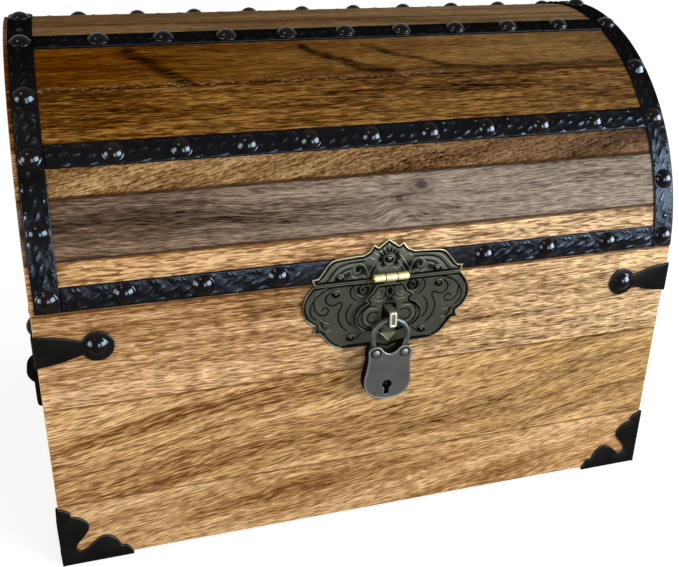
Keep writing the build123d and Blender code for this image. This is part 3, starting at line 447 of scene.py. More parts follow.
class Skin:
    """Closed surfaces that are written into one mesh."""

    def __init__(self) -> None:
        """Starts empty."""
        self.points: list[Array] = []
        self.worn: list[Array] = []
        self.triangles: list[Array] = []
        self.quads: list[Array] = []
        self.count = 0

    def add(self, rows: Array, worn: Array | None = None, loop: bool = False) -> None:
        """Adds a closed surface made of rows of points, each of which closes on itself.

        Args:
            rows: Points, as row by column by coordinate.
            worn: How worn each point is, from 0 to 1, or plain all over.
            loop: Whether the last row joins the first. The end rows are closed with a pole otherwise.
        """
        height, width = rows.shape[:2]
        index = np.arange(height * width).reshape(height, width)
        lower = index if loop else index[:-1]
        upper = np.roll(index, -1, 0) if loop else index[1:]
        corners = (lower, np.roll(lower, -1, 1), np.roll(upper, -1, 1), upper)
        quads = np.stack(corners, -1).reshape(-1, 4)
        points = rows.reshape(-1, 3)
        shade = np.full(len(points), PLAIN) if worn is None else worn.reshape(-1)
        triangles = np.empty((0, 3), int)
        if not loop:
            poles = np.array([rows[0].mean(0), rows[-1].mean(0)])
            first, last = index[0], index[-1]
            low, high = len(points), len(points) + 1
            fan_low = np.stack([np.roll(first, -1), first, np.full(width, low)], -1)
            fan_high = np.stack([last, np.roll(last, -1), np.full(width, high)], -1)
            triangles = np.vstack([fan_low, fan_high])
            shade = np.concatenate([shade, [shade[first].mean(), shade[last].mean()]])
            points = np.vstack([points, poles])
        if self._volume(points, quads, triangles) < 0:
            quads, triangles = quads[:, ::-1], triangles[:, ::-1]
        self.points.append(points)
        self.worn.append(shade)
        self.quads.append(quads + self.count)
        self.triangles.append(triangles + self.count)
        self.count += len(points)

    @staticmethod
    def _volume(points: Array, quads: Array, triangles: Array) -> float:
        """Volume within the faces: the sum of the tetrahedra that they make with the origin."""
        centred = points - points.mean(0)
        every = np.vstack([quads[:, :3], quads[:, [0, 2, 3]], triangles])
        a, b, c = (centred[every[:, k]] for k in range(3))
        return float(np.einsum("ij,ij->", a, np.cross(b, c)))

    def piece(
        self, name: str, finish: Material, body: Body, slot: Slot, nodes: tuple[str, ...] = (),
        crease: float = 38.0,
    ) -> None:
        """Writes the mesh and seats the piece on its body.

        Args:
            name: The piece's name.
            finish: Its material.
            body: The body that it rides on.
            slot: The record's material slot; it is not used.
            nodes: The frame's nodes that it stands for.
            crease: Angle in degrees past which an edge is sharp.
        """
        mesh = bpy.data.meshes.new(name)
        quads, triangles = np.vstack(self.quads), np.vstack(self.triangles)
        points = np.vstack(self.points) * METRES
        corners = np.concatenate([quads.ravel(), triangles.ravel()])
        starts = np.arange(len(quads)) * 4
        tail = len(quads) * 4 + np.arange(len(triangles)) * 3
        mesh.vertices.add(len(points))
        mesh.vertices.foreach_set("co", points.astype(np.float32).ravel())
        mesh.loops.add(len(corners))
        mesh.loops.foreach_set("vertex_index", corners.astype(np.int32))
        mesh.polygons.add(len(quads) + len(triangles))
        mesh.polygons.foreach_set("loop_start", np.concatenate([starts, tail]).astype(np.int32))
        mesh.update(calc_edges=True)
        mesh.validate()
        mesh.polygons.foreach_set("use_smooth", np.ones(len(mesh.polygons), bool))
        mesh.set_sharp_from_angle(angle=math.radians(crease))
        worn = mesh.attributes.new("worn", "FLOAT", "POINT")
        worn.data.foreach_set("value", np.concatenate(self.worn).astype(np.float32))
        mesh.materials.append(finish)
        made = bpy.data.objects.new(name, mesh)
        bpy.context.scene.collection.objects.link(made)
        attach(made, body.value)
        if nodes:
            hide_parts(*nodes)
        LOG.info("%s: %d faces on %s", name, len(mesh.polygons), body.value)


@dataclass(frozen=True)
class Sheet:
    """The thickness and the rounded edge of a pressed plate, in millimetres."""

    thickness: float
    edge: float


def pressed_plate(
    skin: Skin, outline: Array, inner: Array, sheet: Sheet, lift: Lift, place: Place, size: tuple[int, int]
) -> None:
    """Adds a plate whose rows go from a hole or a middle point out to its outline.

    A point is the inner one plus a share of the way to the outline. Its height is the thickness,
    less the rounded edge, plus the lift there.

    Args:
        skin: Where it is added.
        outline: The closed outline.
        inner: The hole's outline, or one point.
        sheet: Thickness and edge.
        lift: Height of the relief at a point, and how worn it is there.
        place: Takes the two flat coordinates and the height to the row frame.
        size: Rows and columns.
    """
    rows, columns = size
    rim = evenly(outline, columns)
    solid = len(inner) == 1
    if solid:
        core = np.repeat(inner, columns, 0)
    else:
        centre = inner.mean(0)
        core = evenly(inner, 4 * columns)
        bearing = np.arctan2(core[:, 1] - centre[1], core[:, 0] - centre[0])
        order = np.argsort(bearing)
        wanted = np.arctan2(rim[:, 1] - centre[1], rim[:, 0] - centre[0])
        core = np.stack([np.interp(wanted, bearing[order], core[order, k], period=2 * np.pi) for k in (0, 1)], 1)
    start = FIRST_SHARE if solid else 0.0
    share = np.concatenate([np.linspace(start, RIM_SHARES[0], rows), RIM_SHARES[1:]])[:, None, None]
    flat = core[None] + share * (rim - core)[None]
    x, y = flat[..., 0], flat[..., 1]
    distance = distance_to(x, y, looped(rim))
    if not solid:
        distance = np.minimum(distance, distance_to(x, y, looped(core)))
    raised, worn = lift(x, y)
    height = sheet.thickness - edge_drop(distance, sheet.edge) + raised
    front = place(x, y, height)
    back_share = np.array([*UNDER_SHARES, start])[:, None, None]
    under = core[None] + back_share * (rim - core)[None]
    back = place(under[..., 0], under[..., 1], np.zeros(under.shape[:2]))
    worn = np.vstack([worn, np.zeros((len(back), columns))])
    skin.add(np.concatenate([front, back]), worn, loop=not solid)


def ruled(near: Array, far: Array, columns: int) -> tuple[Array, Array]:
    """A grid whose rows go straight from one edge line to the other, and crowd towards both.

    Args:
        near: One edge.
        far: The other edge, with as many points.
        columns: Points of a row.

    Returns:
        The grid's two coordinates.
    """
    share = (1 - np.cos(np.linspace(0, np.pi, columns))) / 2
    flat = near[:, None] + share[None, :, None] * (far - near)[:, None]
    return flat[..., 0], flat[..., 1]


def two_faced(skin: Skin, place: Place, grid: tuple[Array, Array], height: Array, worn: Array) -> None:
    """Adds a plate with a shaped face and a flat underside at height 0.

    Args:
        skin: Where it is added.
        place: Takes the grid's coordinates and the height to the row frame.
        grid: The face's two flat coordinates.
        height: The face's height.
        worn: How worn the face is.
    """
    x, y = grid
    flat = np.zeros(x.shape)
    rows = np.concatenate([place(x, y, height), place(x[:, ::-1], y[:, ::-1], flat)], axis=1)
    skin.add(rows, np.concatenate([worn, flat], axis=1))


def ruled_plate(skin: Skin, near: Array, far: Array, sheet: Sheet, lift: Lift, place: Place, columns: int) -> None:
    """Adds a plate whose rows go straight from one edge line to the other.

    A point is the near one plus a share of the way to the far one, with its height as in a pressed plate.

    Args:
        skin: Where it is added.
        near: One edge.
        far: The other edge, with as many points.
        sheet: Thickness and edge.
        lift: Height of the relief and its wear, from the distance to the rim and the first coordinate.
        place: Takes the two flat coordinates and the height to the row frame.
        columns: Points across the plate.
    """
    x, y = ruled(near, far, columns)
    distance = distance_to(x, y, np.vstack([near, far[::-1], near[:1]]))
    raised, worn = lift(distance, x)
    two_faced(skin, place, (x, y), sheet.thickness - edge_drop(distance, sheet.edge) + raised, worn)


def turned(skin: Skin, profile: Array, base: Array, axis: Array, sides: int, worn: Array | None = None) -> None:
    """Adds a turned shape: the profile's radius and height carried round an axis.

    Args:
        skin: Where it is added.
        profile: Radius and height of each row.
        base: Point on the axis at height 0.
        axis: Unit vector along the axis.
        sides: Points round it.
        worn: How worn each row is.
    """
    helper = np.array([1.0, 0, 0]) if abs(axis[0]) < 0.9 else np.array([0, 1.0, 0])
    first = np.cross(axis, helper)
    first /= np.linalg.norm(first)
    second = np.cross(axis, first)
    unit = circle(sides)
    spoke = unit[:, :1] * first + unit[:, 1:] * second
    rows = base + profile[:, :1, None] * spoke[None] + profile[:, 1:, None] * axis
    shade = None if worn is None else np.repeat(worn[:, None], sides, 1)
    skin.add(rows, shade)


def rounded_rod(skin: Skin, line: Array, radius: float, sides: int) -> None:
    """Adds a rod along a line, with rounded ends.

    Each ring stands square to the line, on the plane's normal and its cross with the direction.

    Args:
        skin: Where it is added.
        line: Points of the centre line, all in one plane.
        radius: The rod's radius.
        sides: Points round it.
    """
    along = np.gradient(line, axis=0)
    along /= np.linalg.norm(along, axis=1)[:, None]
    normal = np.linalg.svd(line - line.mean(0))[2][-1]
    across = np.cross(along, normal)
    unit = circle(sides)[None]
    ring = unit[..., :1] * normal + unit[..., 1:] * across[:, None]
    end_rows = 6
    turn = np.linspace(0, np.pi / 2, end_rows, endpoint=False)[:, None, None]
    start = line[0] - along[0] * radius * np.cos(turn) + ring[0] * radius * np.sin(turn)
    end = line[-1] + along[-1] * radius * np.cos(turn) + ring[-1] * radius * np.sin(turn)
    skin.add(np.concatenate([start[1:], line[:, None] + radius * ring, end[:0:-1]]))


@dataclass(frozen=True)
class Head:
    """A domed head: a low collar, a shallow neck and a dome that is an arc of a circle.

    The collar's share is of the height, and the dome's foot is a share of the radius.
    """

    radius: float
    height: float
    # painted highlight: the wear given to the dome, which paints it lighter
    shine: float = 0.0
    collar_share: float = 0.12
    dome_share: float = 0.94
    top_angle: float = 0.06
    dome_rows: int = 9
    sides: int = 28

    def add(self, skin: Skin, base: Array, axis: Array) -> None:
        """Adds the head.

        Args:
            skin: Where it is added.
            base: Middle of its seat.
            axis: Unit vector out of the seat.
        """
        radius, collar = self.radius, self.collar_share * self.height
        rise, reach = self.height - collar, self.dome_share * radius
        ball = (reach**2 + rise**2) / (2 * rise)
        turn = np.linspace(math.asin(reach / ball), self.top_angle, self.dome_rows)
        dome = np.stack([ball * np.sin(turn), self.height - ball + ball * np.cos(turn)], 1)
        foot = np.array([[radius * 0.3, 0.0], [radius, 0.0], [radius, collar * 0.4], [radius * 0.97, collar * 0.8]])
        worn = np.concatenate([np.zeros(len(foot)), np.full(self.dome_rows, self.shine)])
        turned(skin, np.vstack([foot, dome]), base, axis, self.sides, worn)


@dataclass(frozen=True)
class Stroke:
    """A raised line of a pressed ornament. A negative height is an engraved one."""

    points: tuple[Point, ...]
    half_width: float
    height: float

    def height_at(self, x: Array, y: Array) -> Array:
        """The line's height: its ridge times its height."""
        line = flowing(self.points, 6) if len(self.points) > 1 else np.asarray(self.points * 2)
        return self.height * ridge(distance_to(x, y, line), self.half_width)


def engraved(*points: Point) -> Stroke:
    """A line cut into a plate."""
    return Stroke(points, 0.62, -0.26)


def ornament(strokes: Sequence[Stroke], x: Array, y: Array) -> tuple[Array, Array]:
    """Heights of mirrored strokes.

    Args:
        strokes: The right half's strokes.
        x: First coordinates.
        y: Second coordinates.

    Returns:
        The highest raised stroke and the deepest engraved one at each point.
    """
    side = np.abs(x)
    raised, sunk = np.zeros(x.shape), np.zeros(x.shape)
    for stroke in strokes:
        height = stroke.height_at(side, y)
        raised, sunk = np.maximum(raised, height), np.minimum(sunk, height)
    return raised, sunk


# The frame


@dataclass(frozen=True)
class ChestFrame:
    """The chest's main places, read from the frame, in millimetres."""

    half_length: float
    front_y: float
    back_y: float
    wood_bottom: float
    parting_z: float
    lid_bottom: float
    lid_radius: float
    lid_centre_z: float

    @classmethod
    def read(cls) -> ChestFrame:
        """Reads the boards' and the staves' boxes.

        The lid's radius comes from its rise and its half depth, as an arc's does.
        """
        front_low, front_high = (np.array(corner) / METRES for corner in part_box("front_board_upper"))
        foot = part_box("base_board")[0].z / METRES
        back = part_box("back_panel")[1].y / METRES
        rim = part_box("lid_stave_01")[0].z / METRES
        tops = [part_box(f"lid_stave_{number:02d}")[1].z / METRES for number in (6, 7, 8)]
        rise, half_depth = max(tops) - rim, (back - front_low[1]) / 2
        radius = (rise + half_depth**2 / rise) / 2
        return cls(front_high[0], front_low[1], back, foot, front_high[2], rim, radius, max(tops) - radius)

    @property
    def centre_y(self) -> float:
        """Middle of the depth."""
        return (self.front_y + self.back_y) / 2

    @property
    def rim_angle(self) -> float:
        """Angle at which the lid's arc meets its rim, in degrees."""
        return math.degrees(math.asin((self.lid_bottom - self.lid_centre_z) / self.lid_radius))

    def on_lid(self, x: Array, angle: Array, radius: Array) -> Array:
        """Points on the lid.

        Args:
            x: Place along the lid.
            angle: Degrees from the front over the top.
            radius: Distance from the lid's axis.

        Returns:
            The points in the row frame.
        """
        turn = np.radians(angle)
        x, turn, radius = np.broadcast_arrays(x, turn, radius)
        return np.stack([x, self.centre_y - radius * np.cos(turn), self.lid_centre_z + radius * np.sin(turn)], -1)

    def outwards(self, angle: float) -> Array:
        """The lid's outward direction at an angle."""
        turn = math.radians(angle)
        return np.array([0.0, -math.cos(turn), math.sin(turn)])


# Finishes


@dataclass(frozen=True)
class Grain:
    """A layer of noise in wood: features per millimetre along and across the grain, and its shift of the seed.

    The slant leans its features, and tone and relief say how far the wood's tone and height follow it.
    """

    along: float
    across: float
    shift: int
    detail: float = 1.0
    roughness: float = 0.5
    slant: float = 0.0
    tone: float = 0.0
    relief: float = 0.0

    def noise(self, graph: ShaderGraph, along: Value, across: Value, seed: float) -> Value:
        """The layer's noise, about 0.5.

        Args:
            graph: The material's graph.
            along: Place along the grain.
            across: Place across it.
            seed: The board's own seed.

        Returns:
            The noise.
        """
        sideways = across * self.across
        if self.slant:
            sideways = sideways - along * self.slant
        where = graph.vector(along * self.along, sideways, seed + self.shift)
        return graph.noise(where, 1.0, self.detail, self.roughness)


# The grain's slow and quick bends, its streaks from broad to fine, its pores, flecks and painted silky sheen
SLOW_BEND = Grain(0.006, 0.012, 0)
QUICK_BEND = Grain(0.025, 0.04, 5)
BROAD = Grain(0.005, 0.06, 2, tone=1.3)
STREAK = Grain(0.012, 0.20, 0, 3.0, 0.6, tone=1.1)
FIBRE = Grain(0.045, 0.95, 9, 3.0, 0.6, tone=1.4, relief=0.5)
DASH = Grain(0.15, 1.35, 12, 2.0, tone=1.6, relief=0.4)
PORE = Grain(0.13, 1.0, 3, relief=-0.5)
FLECK = Grain(0.40, 0.9, 6, 2.0, slant=0.25)
SHEEN = Grain(0.075, 0.018, 4, 2.0)
# How a mark wanders and wears, how an edge chips, and the rings on a board's end
MARK_BEND = Grain(0.06, 0.1, 8, 2.0)
MARK_WEAR = Grain(0.10, 0.8, 18, 3.0, 0.6)
CHIPPING = Grain(0.35, 1.8, 15, 3.0, 0.7)
END_RINGS = Grain(0.5, 0.5, 0, 3.0, 0.6)


@dataclass(frozen=True)
class Mark:
    """A dark streak in a board, from one point to the next, along and across the grain."""

    line: tuple[Point, ...]
    half_width: float
    depth: float


@dataclass(frozen=True)
class Knot:
    """A knot, drawn out along the grain, which bends the lines round it."""

    along: float
    across: float
    radius: float
    stretch: Point = (1.5, 1.2)
    bend: float = 0.6
    ring_rate: float = 8.0

    def reach(self, along: Value, across: Value) -> Value:
        """Distance from the knot's middle, in its own radii.

        Args:
            along: Place along the grain.
            across: Place across it.

        Returns:
            The distance.
        """
        du = (along - self.along) / (self.radius * self.stretch[0])
        dv = (across - self.across) / (self.radius * self.stretch[1])
        return (du * du + dv * dv) ** 0.5


@dataclass(frozen=True)
class WoodFinish:
    """Clear-coated wood, with its own grain in each board.

    The grain rises to one side and sways. Along the board its colour drifts to another one, partly the wood's own tone
    and partly painted light: a painted reflection and pool of light towards the right end.
    """

    dark: Colour
    middle: Colour
    light: Colour
    seed: float
    rise: float = 0.0
    sway: float = 6.0
    contrast: float = 1.0
    pores: float = 0.5
    shimmer: float = 0.12
    speckle: float = 0.0
    # painted light: share of the drift to another colour towards the right end, partly the wood's tone and partly
    # painted reflection and light
    drift_and_light: float = 0.0
    drift_start: float = -170.0
    drift_end: float = 190.0
    drift_and_light_colour: Colour = (0.2, 0.18, 0.16)
    drift_tone: Point = (1.9, 0.05)
    marks: tuple[Mark, ...] = ()
    knots: tuple[Knot, ...] = ()
    knot_depth: float = 0.75
    chips: float = 0.0
    chip_colour: Colour = paint(206, 172, 124)
    end_colour: Colour = (0.30, 0.19, 0.10)
    tone_lift: float = 0.04
    pore_darkness: float = 0.7
    seam_darkness: float = 0.75
    depth_shift: float = 0.35
    relief_depth: float = 0.16
    gloss: float = 0.001

    def grain(self, graph: ShaderGraph, along: Value, across: Value) -> tuple[Value, Value, Value]:
        """The colour, roughness and relief of the wood.

        Streaks are noise that is drawn out along the grain. The grain's lines are bent by slow noise and
        pushed aside by knots.

        Args:
            graph: The material's graph.
            along: Place along the grain, in millimetres.
            across: Place across it.

        Returns:
            Colour, roughness and relief.
        """

        def swing(layer: Grain, sideways: Value) -> Value:
            """A layer's noise about 0."""
            return layer.noise(graph, along, sideways, self.seed) - 0.5

        slow, quick = swing(SLOW_BEND, across), swing(QUICK_BEND, across)
        line = across - along * self.rise + slow * (2 * self.sway) + quick * (0.5 * self.sway)
        knot_dark: Number = 0.0
        for knot in self.knots:
            reach = knot.reach(along, across)
            line = line + reach.between(4.0, 0.2) * (across - knot.across) * knot.bend
            rings = graph.maths("SINE", reach * knot.ring_rate) * 0.25 + 0.75
            knot_dark = knot_dark + reach.between(1.5, 0.1) * rings
        broad, streak, fibre, dash = (swing(layer, line) for layer in (BROAD, STREAK, FIBRE, DASH))
        tone = broad * BROAD.tone + streak * STREAK.tone + fibre * FIBRE.tone + dash * DASH.tone + self.tone_lift
        tone = tone * self.contrast + 0.5 + swing(FLECK, across) * self.speckle
        colour = graph.ramp(tone, ((0.0, self.dark), (0.5, self.middle), (1.0, self.light)))
        # painted light: the colour drifts along the board to another colour, partly the wood's tone and partly a
        # painted reflection and pool of light
        if self.drift_and_light:
            gain, lift = self.drift_tone
            drift_and_light_share = along.between(self.drift_start, self.drift_end) * self.drift_and_light
            colour = graph.mix(drift_and_light_share, colour, graph.tint(self.drift_and_light_colour, tone * gain + lift))
        pitted = PORE.noise(graph, along, line, self.seed).between(0.55, 0.60) * self.pores
        colour = graph.mix(pitted * self.pore_darkness, colour, self.dark)
        # painted sheen: bands across the grain lighten and darken the colour, standing in for the wood's shimmer in
        # light
        shade = swing(SHEEN, across) * (2 * self.shimmer) + 1.0
        for mark in self.marks:
            shade = shade * (1.0 - self._mark(graph, mark, along, across) * mark.depth)
        if self.knots:
            shade = shade * (1.0 - knot_dark * self.knot_depth)
        roughness = 0.56 + (1.0 - tone) * 0.12 + pitted * 0.15
        relief = 0.5 + fibre * FIBRE.relief + dash * DASH.relief + pitted * PORE.relief
        return graph.tint(colour, shade), roughness, relief

    def _mark(self, graph: ShaderGraph, mark: Mark, along: Value, across: Value) -> Value:
        """How much of a mark lies at a point: it fades with the distance from the mark's segments.

        Args:
            graph: The material's graph.
            mark: The mark.
            along: Place along the grain.
            across: Place across it.

        Returns:
            The share, from 0 to 1.
        """
        wander = MARK_BEND.noise(graph, along, across, self.seed) - 0.5
        aside = across + wander * (3.0 * mark.half_width)
        whole: Number = 0.0
        for (ax, ay), (bx, by) in zip(mark.line[:-1], mark.line[1:]):
            dx, dy = bx - ax, by - ay
            square = dx * dx + dy * dy
            share = (along - ax) * (dx / square) + (aside - ay) * (dy / square)
            share = graph.node("ShaderNodeClamp", None, {"Value": share})
            du, dv = along - ax - share * dx, aside - ay - share * dy
            near = ((du * du + dv * dv) ** 0.5).between(mark.half_width * 1.6, mark.half_width * 0.2)
            whole = graph.maths("MAXIMUM", whole, near)
        ragged = MARK_WEAR.noise(graph, along, aside, self.seed)
        return whole * (ragged.between(0.36, 0.56) * 0.45 + 0.55)

    def flat_board(
        self, name: str, along_axis: int, half_length: float, surface: float, edges: Point
    ) -> Material:
        """The finish of an upright or flat board.

        Args:
            name: The material's name.
            along_axis: 0 where the grain runs along X, and 1 along Y.
            half_length: Half the board's length, past which its end grain shows.
            surface: Place of the board's outer face across its thickness.
            edges: Heights of the board's two long edges.

        Returns:
            The material.
        """
        graph = ShaderGraph(name)
        x, y, z = graph.millimetres()
        along, deep = (x, y) if along_axis == 0 else (y, x)
        return self._close(graph, along, z, deep - surface, abs(x), half_length, edges)

    def lid_board(self, name: str, frame: ChestFrame, edges: Point) -> Material:
        """The finish of a stave: across the grain is the length of arc from the front.

        Args:
            name: The material's name.
            frame: The chest's main places.
            edges: Lengths of arc at the stave's two long edges.

        Returns:
            The material.
        """
        graph = ShaderGraph(name)
        x, y, z = graph.millimetres()
        height, reach = z - frame.lid_centre_z, frame.centre_y - y
        across = graph.maths("ARCTAN2", height, reach) * frame.lid_radius
        deep = (height * height + reach * reach) ** 0.5 - frame.lid_radius
        return self._close(graph, x, across, deep, abs(x), frame.half_length, edges)

    def _close(
        self,
        graph: ShaderGraph,
        along: Value,
        across: Value,
        deep: Value,
        end: Value,
        half_length: float,
        edges: Point,
    ) -> Material:
        """Adds the seams, the chips and the end grain, and joins the surface.

        Args:
            graph: The material's graph.
            along: Place along the grain.
            across: Place across it.
            deep: Place into the board, which shifts the grain, so that it runs on round an edge.
            end: Distance from the middle of the chest's length.
            half_length: Distance at which the end grain starts.
            edges: Places of the board's two long edges across the grain.

        Returns:
            The material.
        """
        colour, roughness, relief = self.grain(graph, along, across + deep * self.depth_shift)
        wander = graph.noise(graph.vector(along * 0.15, self.seed, 0.0), 1.0, 3.0)
        inside = graph.maths("MINIMUM", across - edges[0], edges[1] - across) + (wander - 0.5) * 0.8
        colour = graph.mix(inside.between(0.9, 0.1) * self.seam_darkness, colour, self.dark)
        if self.chips:
            rough = CHIPPING.noise(graph, along, across, self.seed).between(0.54, 0.66)
            chip = (across - edges[0]).between(4.0, 0.6) * rough * along.between(150.0, -60.0)
            colour = graph.mix(chip * self.chips, colour, self.chip_colour)
        rings = END_RINGS.noise(graph, deep, across, self.seed)
        grain_end = graph.tint(graph.mix(rings, self.end_colour, self.light), rings * 0.6 + 0.6)
        colour = graph.mix(end.between(half_length - 0.35, half_length - 0.2), colour, grain_end)
        return graph.surface(colour, roughness, 0.0, relief, self.relief_depth, {"Specular IOR Level": self.gloss})


@dataclass(frozen=True)
class IronFinish:
    """Black painted iron with soft dents and rubbed ridges."""

    base: Colour
    rubbed: Colour
    roughness: float
    dent: float
    metallic: float

    def material(self, name: str) -> Material:
        """Makes the material."""
        graph = ShaderGraph(name)
        x, y, z = graph.millimetres()
        where = graph.vector(x, y, z)
        cloud = graph.noise(where, 0.09, 3.0)
        dents = graph.noise(where, 0.32, 2.0)
        grit = graph.noise(where, 2.4, 2.0)
        rub = graph.attribute("worn") * (cloud * 0.8 + 0.6)
        colour = graph.mix(rub.between(0.25, 1.0), self.base, self.rubbed)
        colour = graph.tint(colour, cloud * 0.8 + 0.6)
        roughness = (cloud - 0.5) * 0.25 + self.roughness + (grit - 0.5) * 0.1
        relief = dents * 0.8 + grit * 0.12
        return graph.surface(colour, roughness, self.metallic, relief, self.dent, QUIET_EDGE)


@dataclass(frozen=True)
class NailFinish:
    """Smooth dark lacquer over a nail's head, with a little brown in it."""

    base: Colour
    brown: Colour
    roughness: float = 0.15
    gloss: float = 0.06

    def material(self, name: str) -> Material:
        """Makes the material."""
        graph = ShaderGraph(name)
        x, y, z = graph.millimetres()
        where = graph.vector(x, y, z)
        cloud = graph.noise(where, 0.10, 2.0)
        fine = graph.noise(where, 1.1, 3.0)
        colour = graph.mix(cloud.between(0.42, 0.66), self.base, self.brown)
        colour = graph.mix(graph.attribute("worn") * fine, colour, paint(86, 80, 78))
        roughness = (fine - 0.5) * 0.12 + self.roughness
        return graph.surface(colour, roughness, 0.0, fine, 0.02, {"Specular IOR Level": self.gloss})


@dataclass(frozen=True)
class MetalFinish:
    """Bare or patinated metal: dark in its hollows, by its patina and, where it is shadowed, by painted shade, and
    brighter where it stands out or is worn.
    """

    sunk: Colour
    floor: Colour
    raised: Colour
    worn: Colour
    roughness: float
    metallic: float
    grit: float = 0.02
    shadowed: float = 0.0

    def material(self, name: str) -> Material:
        """Makes the material."""
        graph = ShaderGraph(name)
        x, y, z = graph.millimetres()
        where = graph.vector(x, y, z)
        cloud = graph.noise(where, 0.10, 3.0)
        fine = graph.noise(where, 1.2, 3.0, 0.6)
        share = graph.attribute("worn") + (fine - 0.5) * 0.16 + (cloud - 0.5) * 0.22
        stops = ((0.0, self.sunk), (0.3, self.floor), (0.65, self.raised), (1.0, self.worn))
        colour = graph.ramp(share, stops)
        # painted shade: ambient occlusion darkens the colour in hollows, such as the screws' crossed slots
        if self.shadowed:
            hollow = {"Distance": 0.8 * METRES, "Color": (1.0, 1.0, 1.0, 1.0)}
            settings = {"samples": 8, "only_local": True}
            open_sky = graph.node("ShaderNodeAmbientOcclusion", settings, hollow, "AO")
            colour = graph.tint(colour, open_sky.between(0.35, 0.95) * self.shadowed + (1.0 - self.shadowed))
        roughness = (fine - 0.5) * 0.22 + self.roughness
        return graph.surface(colour, roughness, self.metallic, fine, self.grit, QUIET_EDGE)


# Sub-assemblies


@dataclass
class WoodenBody:
    """The body's boards, each with its own grain."""

    frame: ChestFrame
    top: WoodFinish = WoodFinish(
        dark=paint(100, 62, 28), middle=paint(178, 135, 88), light=paint(232, 196, 150), seed=3.1, rise=0.01,
        sway=3.0, pores=0.9, shimmer=0.36, drift_and_light=0.8, drift_and_light_colour=paint(210, 179, 137),
    )
    middle: WoodFinish = WoodFinish(
        dark=paint(104, 66, 28), middle=paint(200, 157, 104), light=paint(242, 208, 158), seed=11.7, rise=0.14,
        sway=10.0, pores=0.9, shimmer=0.10, drift_and_light=0.7, drift_and_light_colour=paint(158, 128, 82),
    )
    lower: WoodFinish = WoodFinish(
        dark=paint(106, 70, 34), middle=paint(182, 140, 90), light=paint(236, 202, 154), seed=23.9, rise=0.12,
        sway=12.0, pores=0.8, shimmer=0.10,
    )
    rough: WoodFinish = WoodFinish(
        dark=paint(108, 70, 36), middle=paint(182, 142, 94), light=paint(226, 188, 140), seed=41.3, rise=0.03,
        sway=10.0, pores=0.7,
    )

    def dress(self, nodes: dict[str, bpy.types.Object]) -> None:
        """Gives each board its material.

        Args:
            nodes: The frame's objects by name.
        """
        half = self.frame.half_length
        looks: dict[str, tuple[WoodFinish, int]] = {
            "front_board_upper": (self.top, 0),
            "front_board_middle": (self.middle, 0),
            "front_board_lower": (self.lower, 0),
            "back_panel": (self.rough, 0),
            "base_board": (self.rough, 1),
            "left_end_panel": (self.middle, 1),
            "right_end_panel": (self.lower, 1),
        }
        for name, (look, axis) in looks.items():
            low, high = (np.array(corner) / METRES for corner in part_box(name))
            outside = max(low[1 - axis], high[1 - axis], key=abs)
            finish = look.flat_board(f"{name}_wood", axis, half if axis == 0 else 4 * half, outside, (low[2], high[2]))
            cover(nodes[name], finish)
            LOG.info("%s: finished", name)


def cover(node: bpy.types.Object, finish: Material) -> None:
    """Puts a material on all of a node's slots."""
    for slot in node.material_slots:
        slot.material = finish


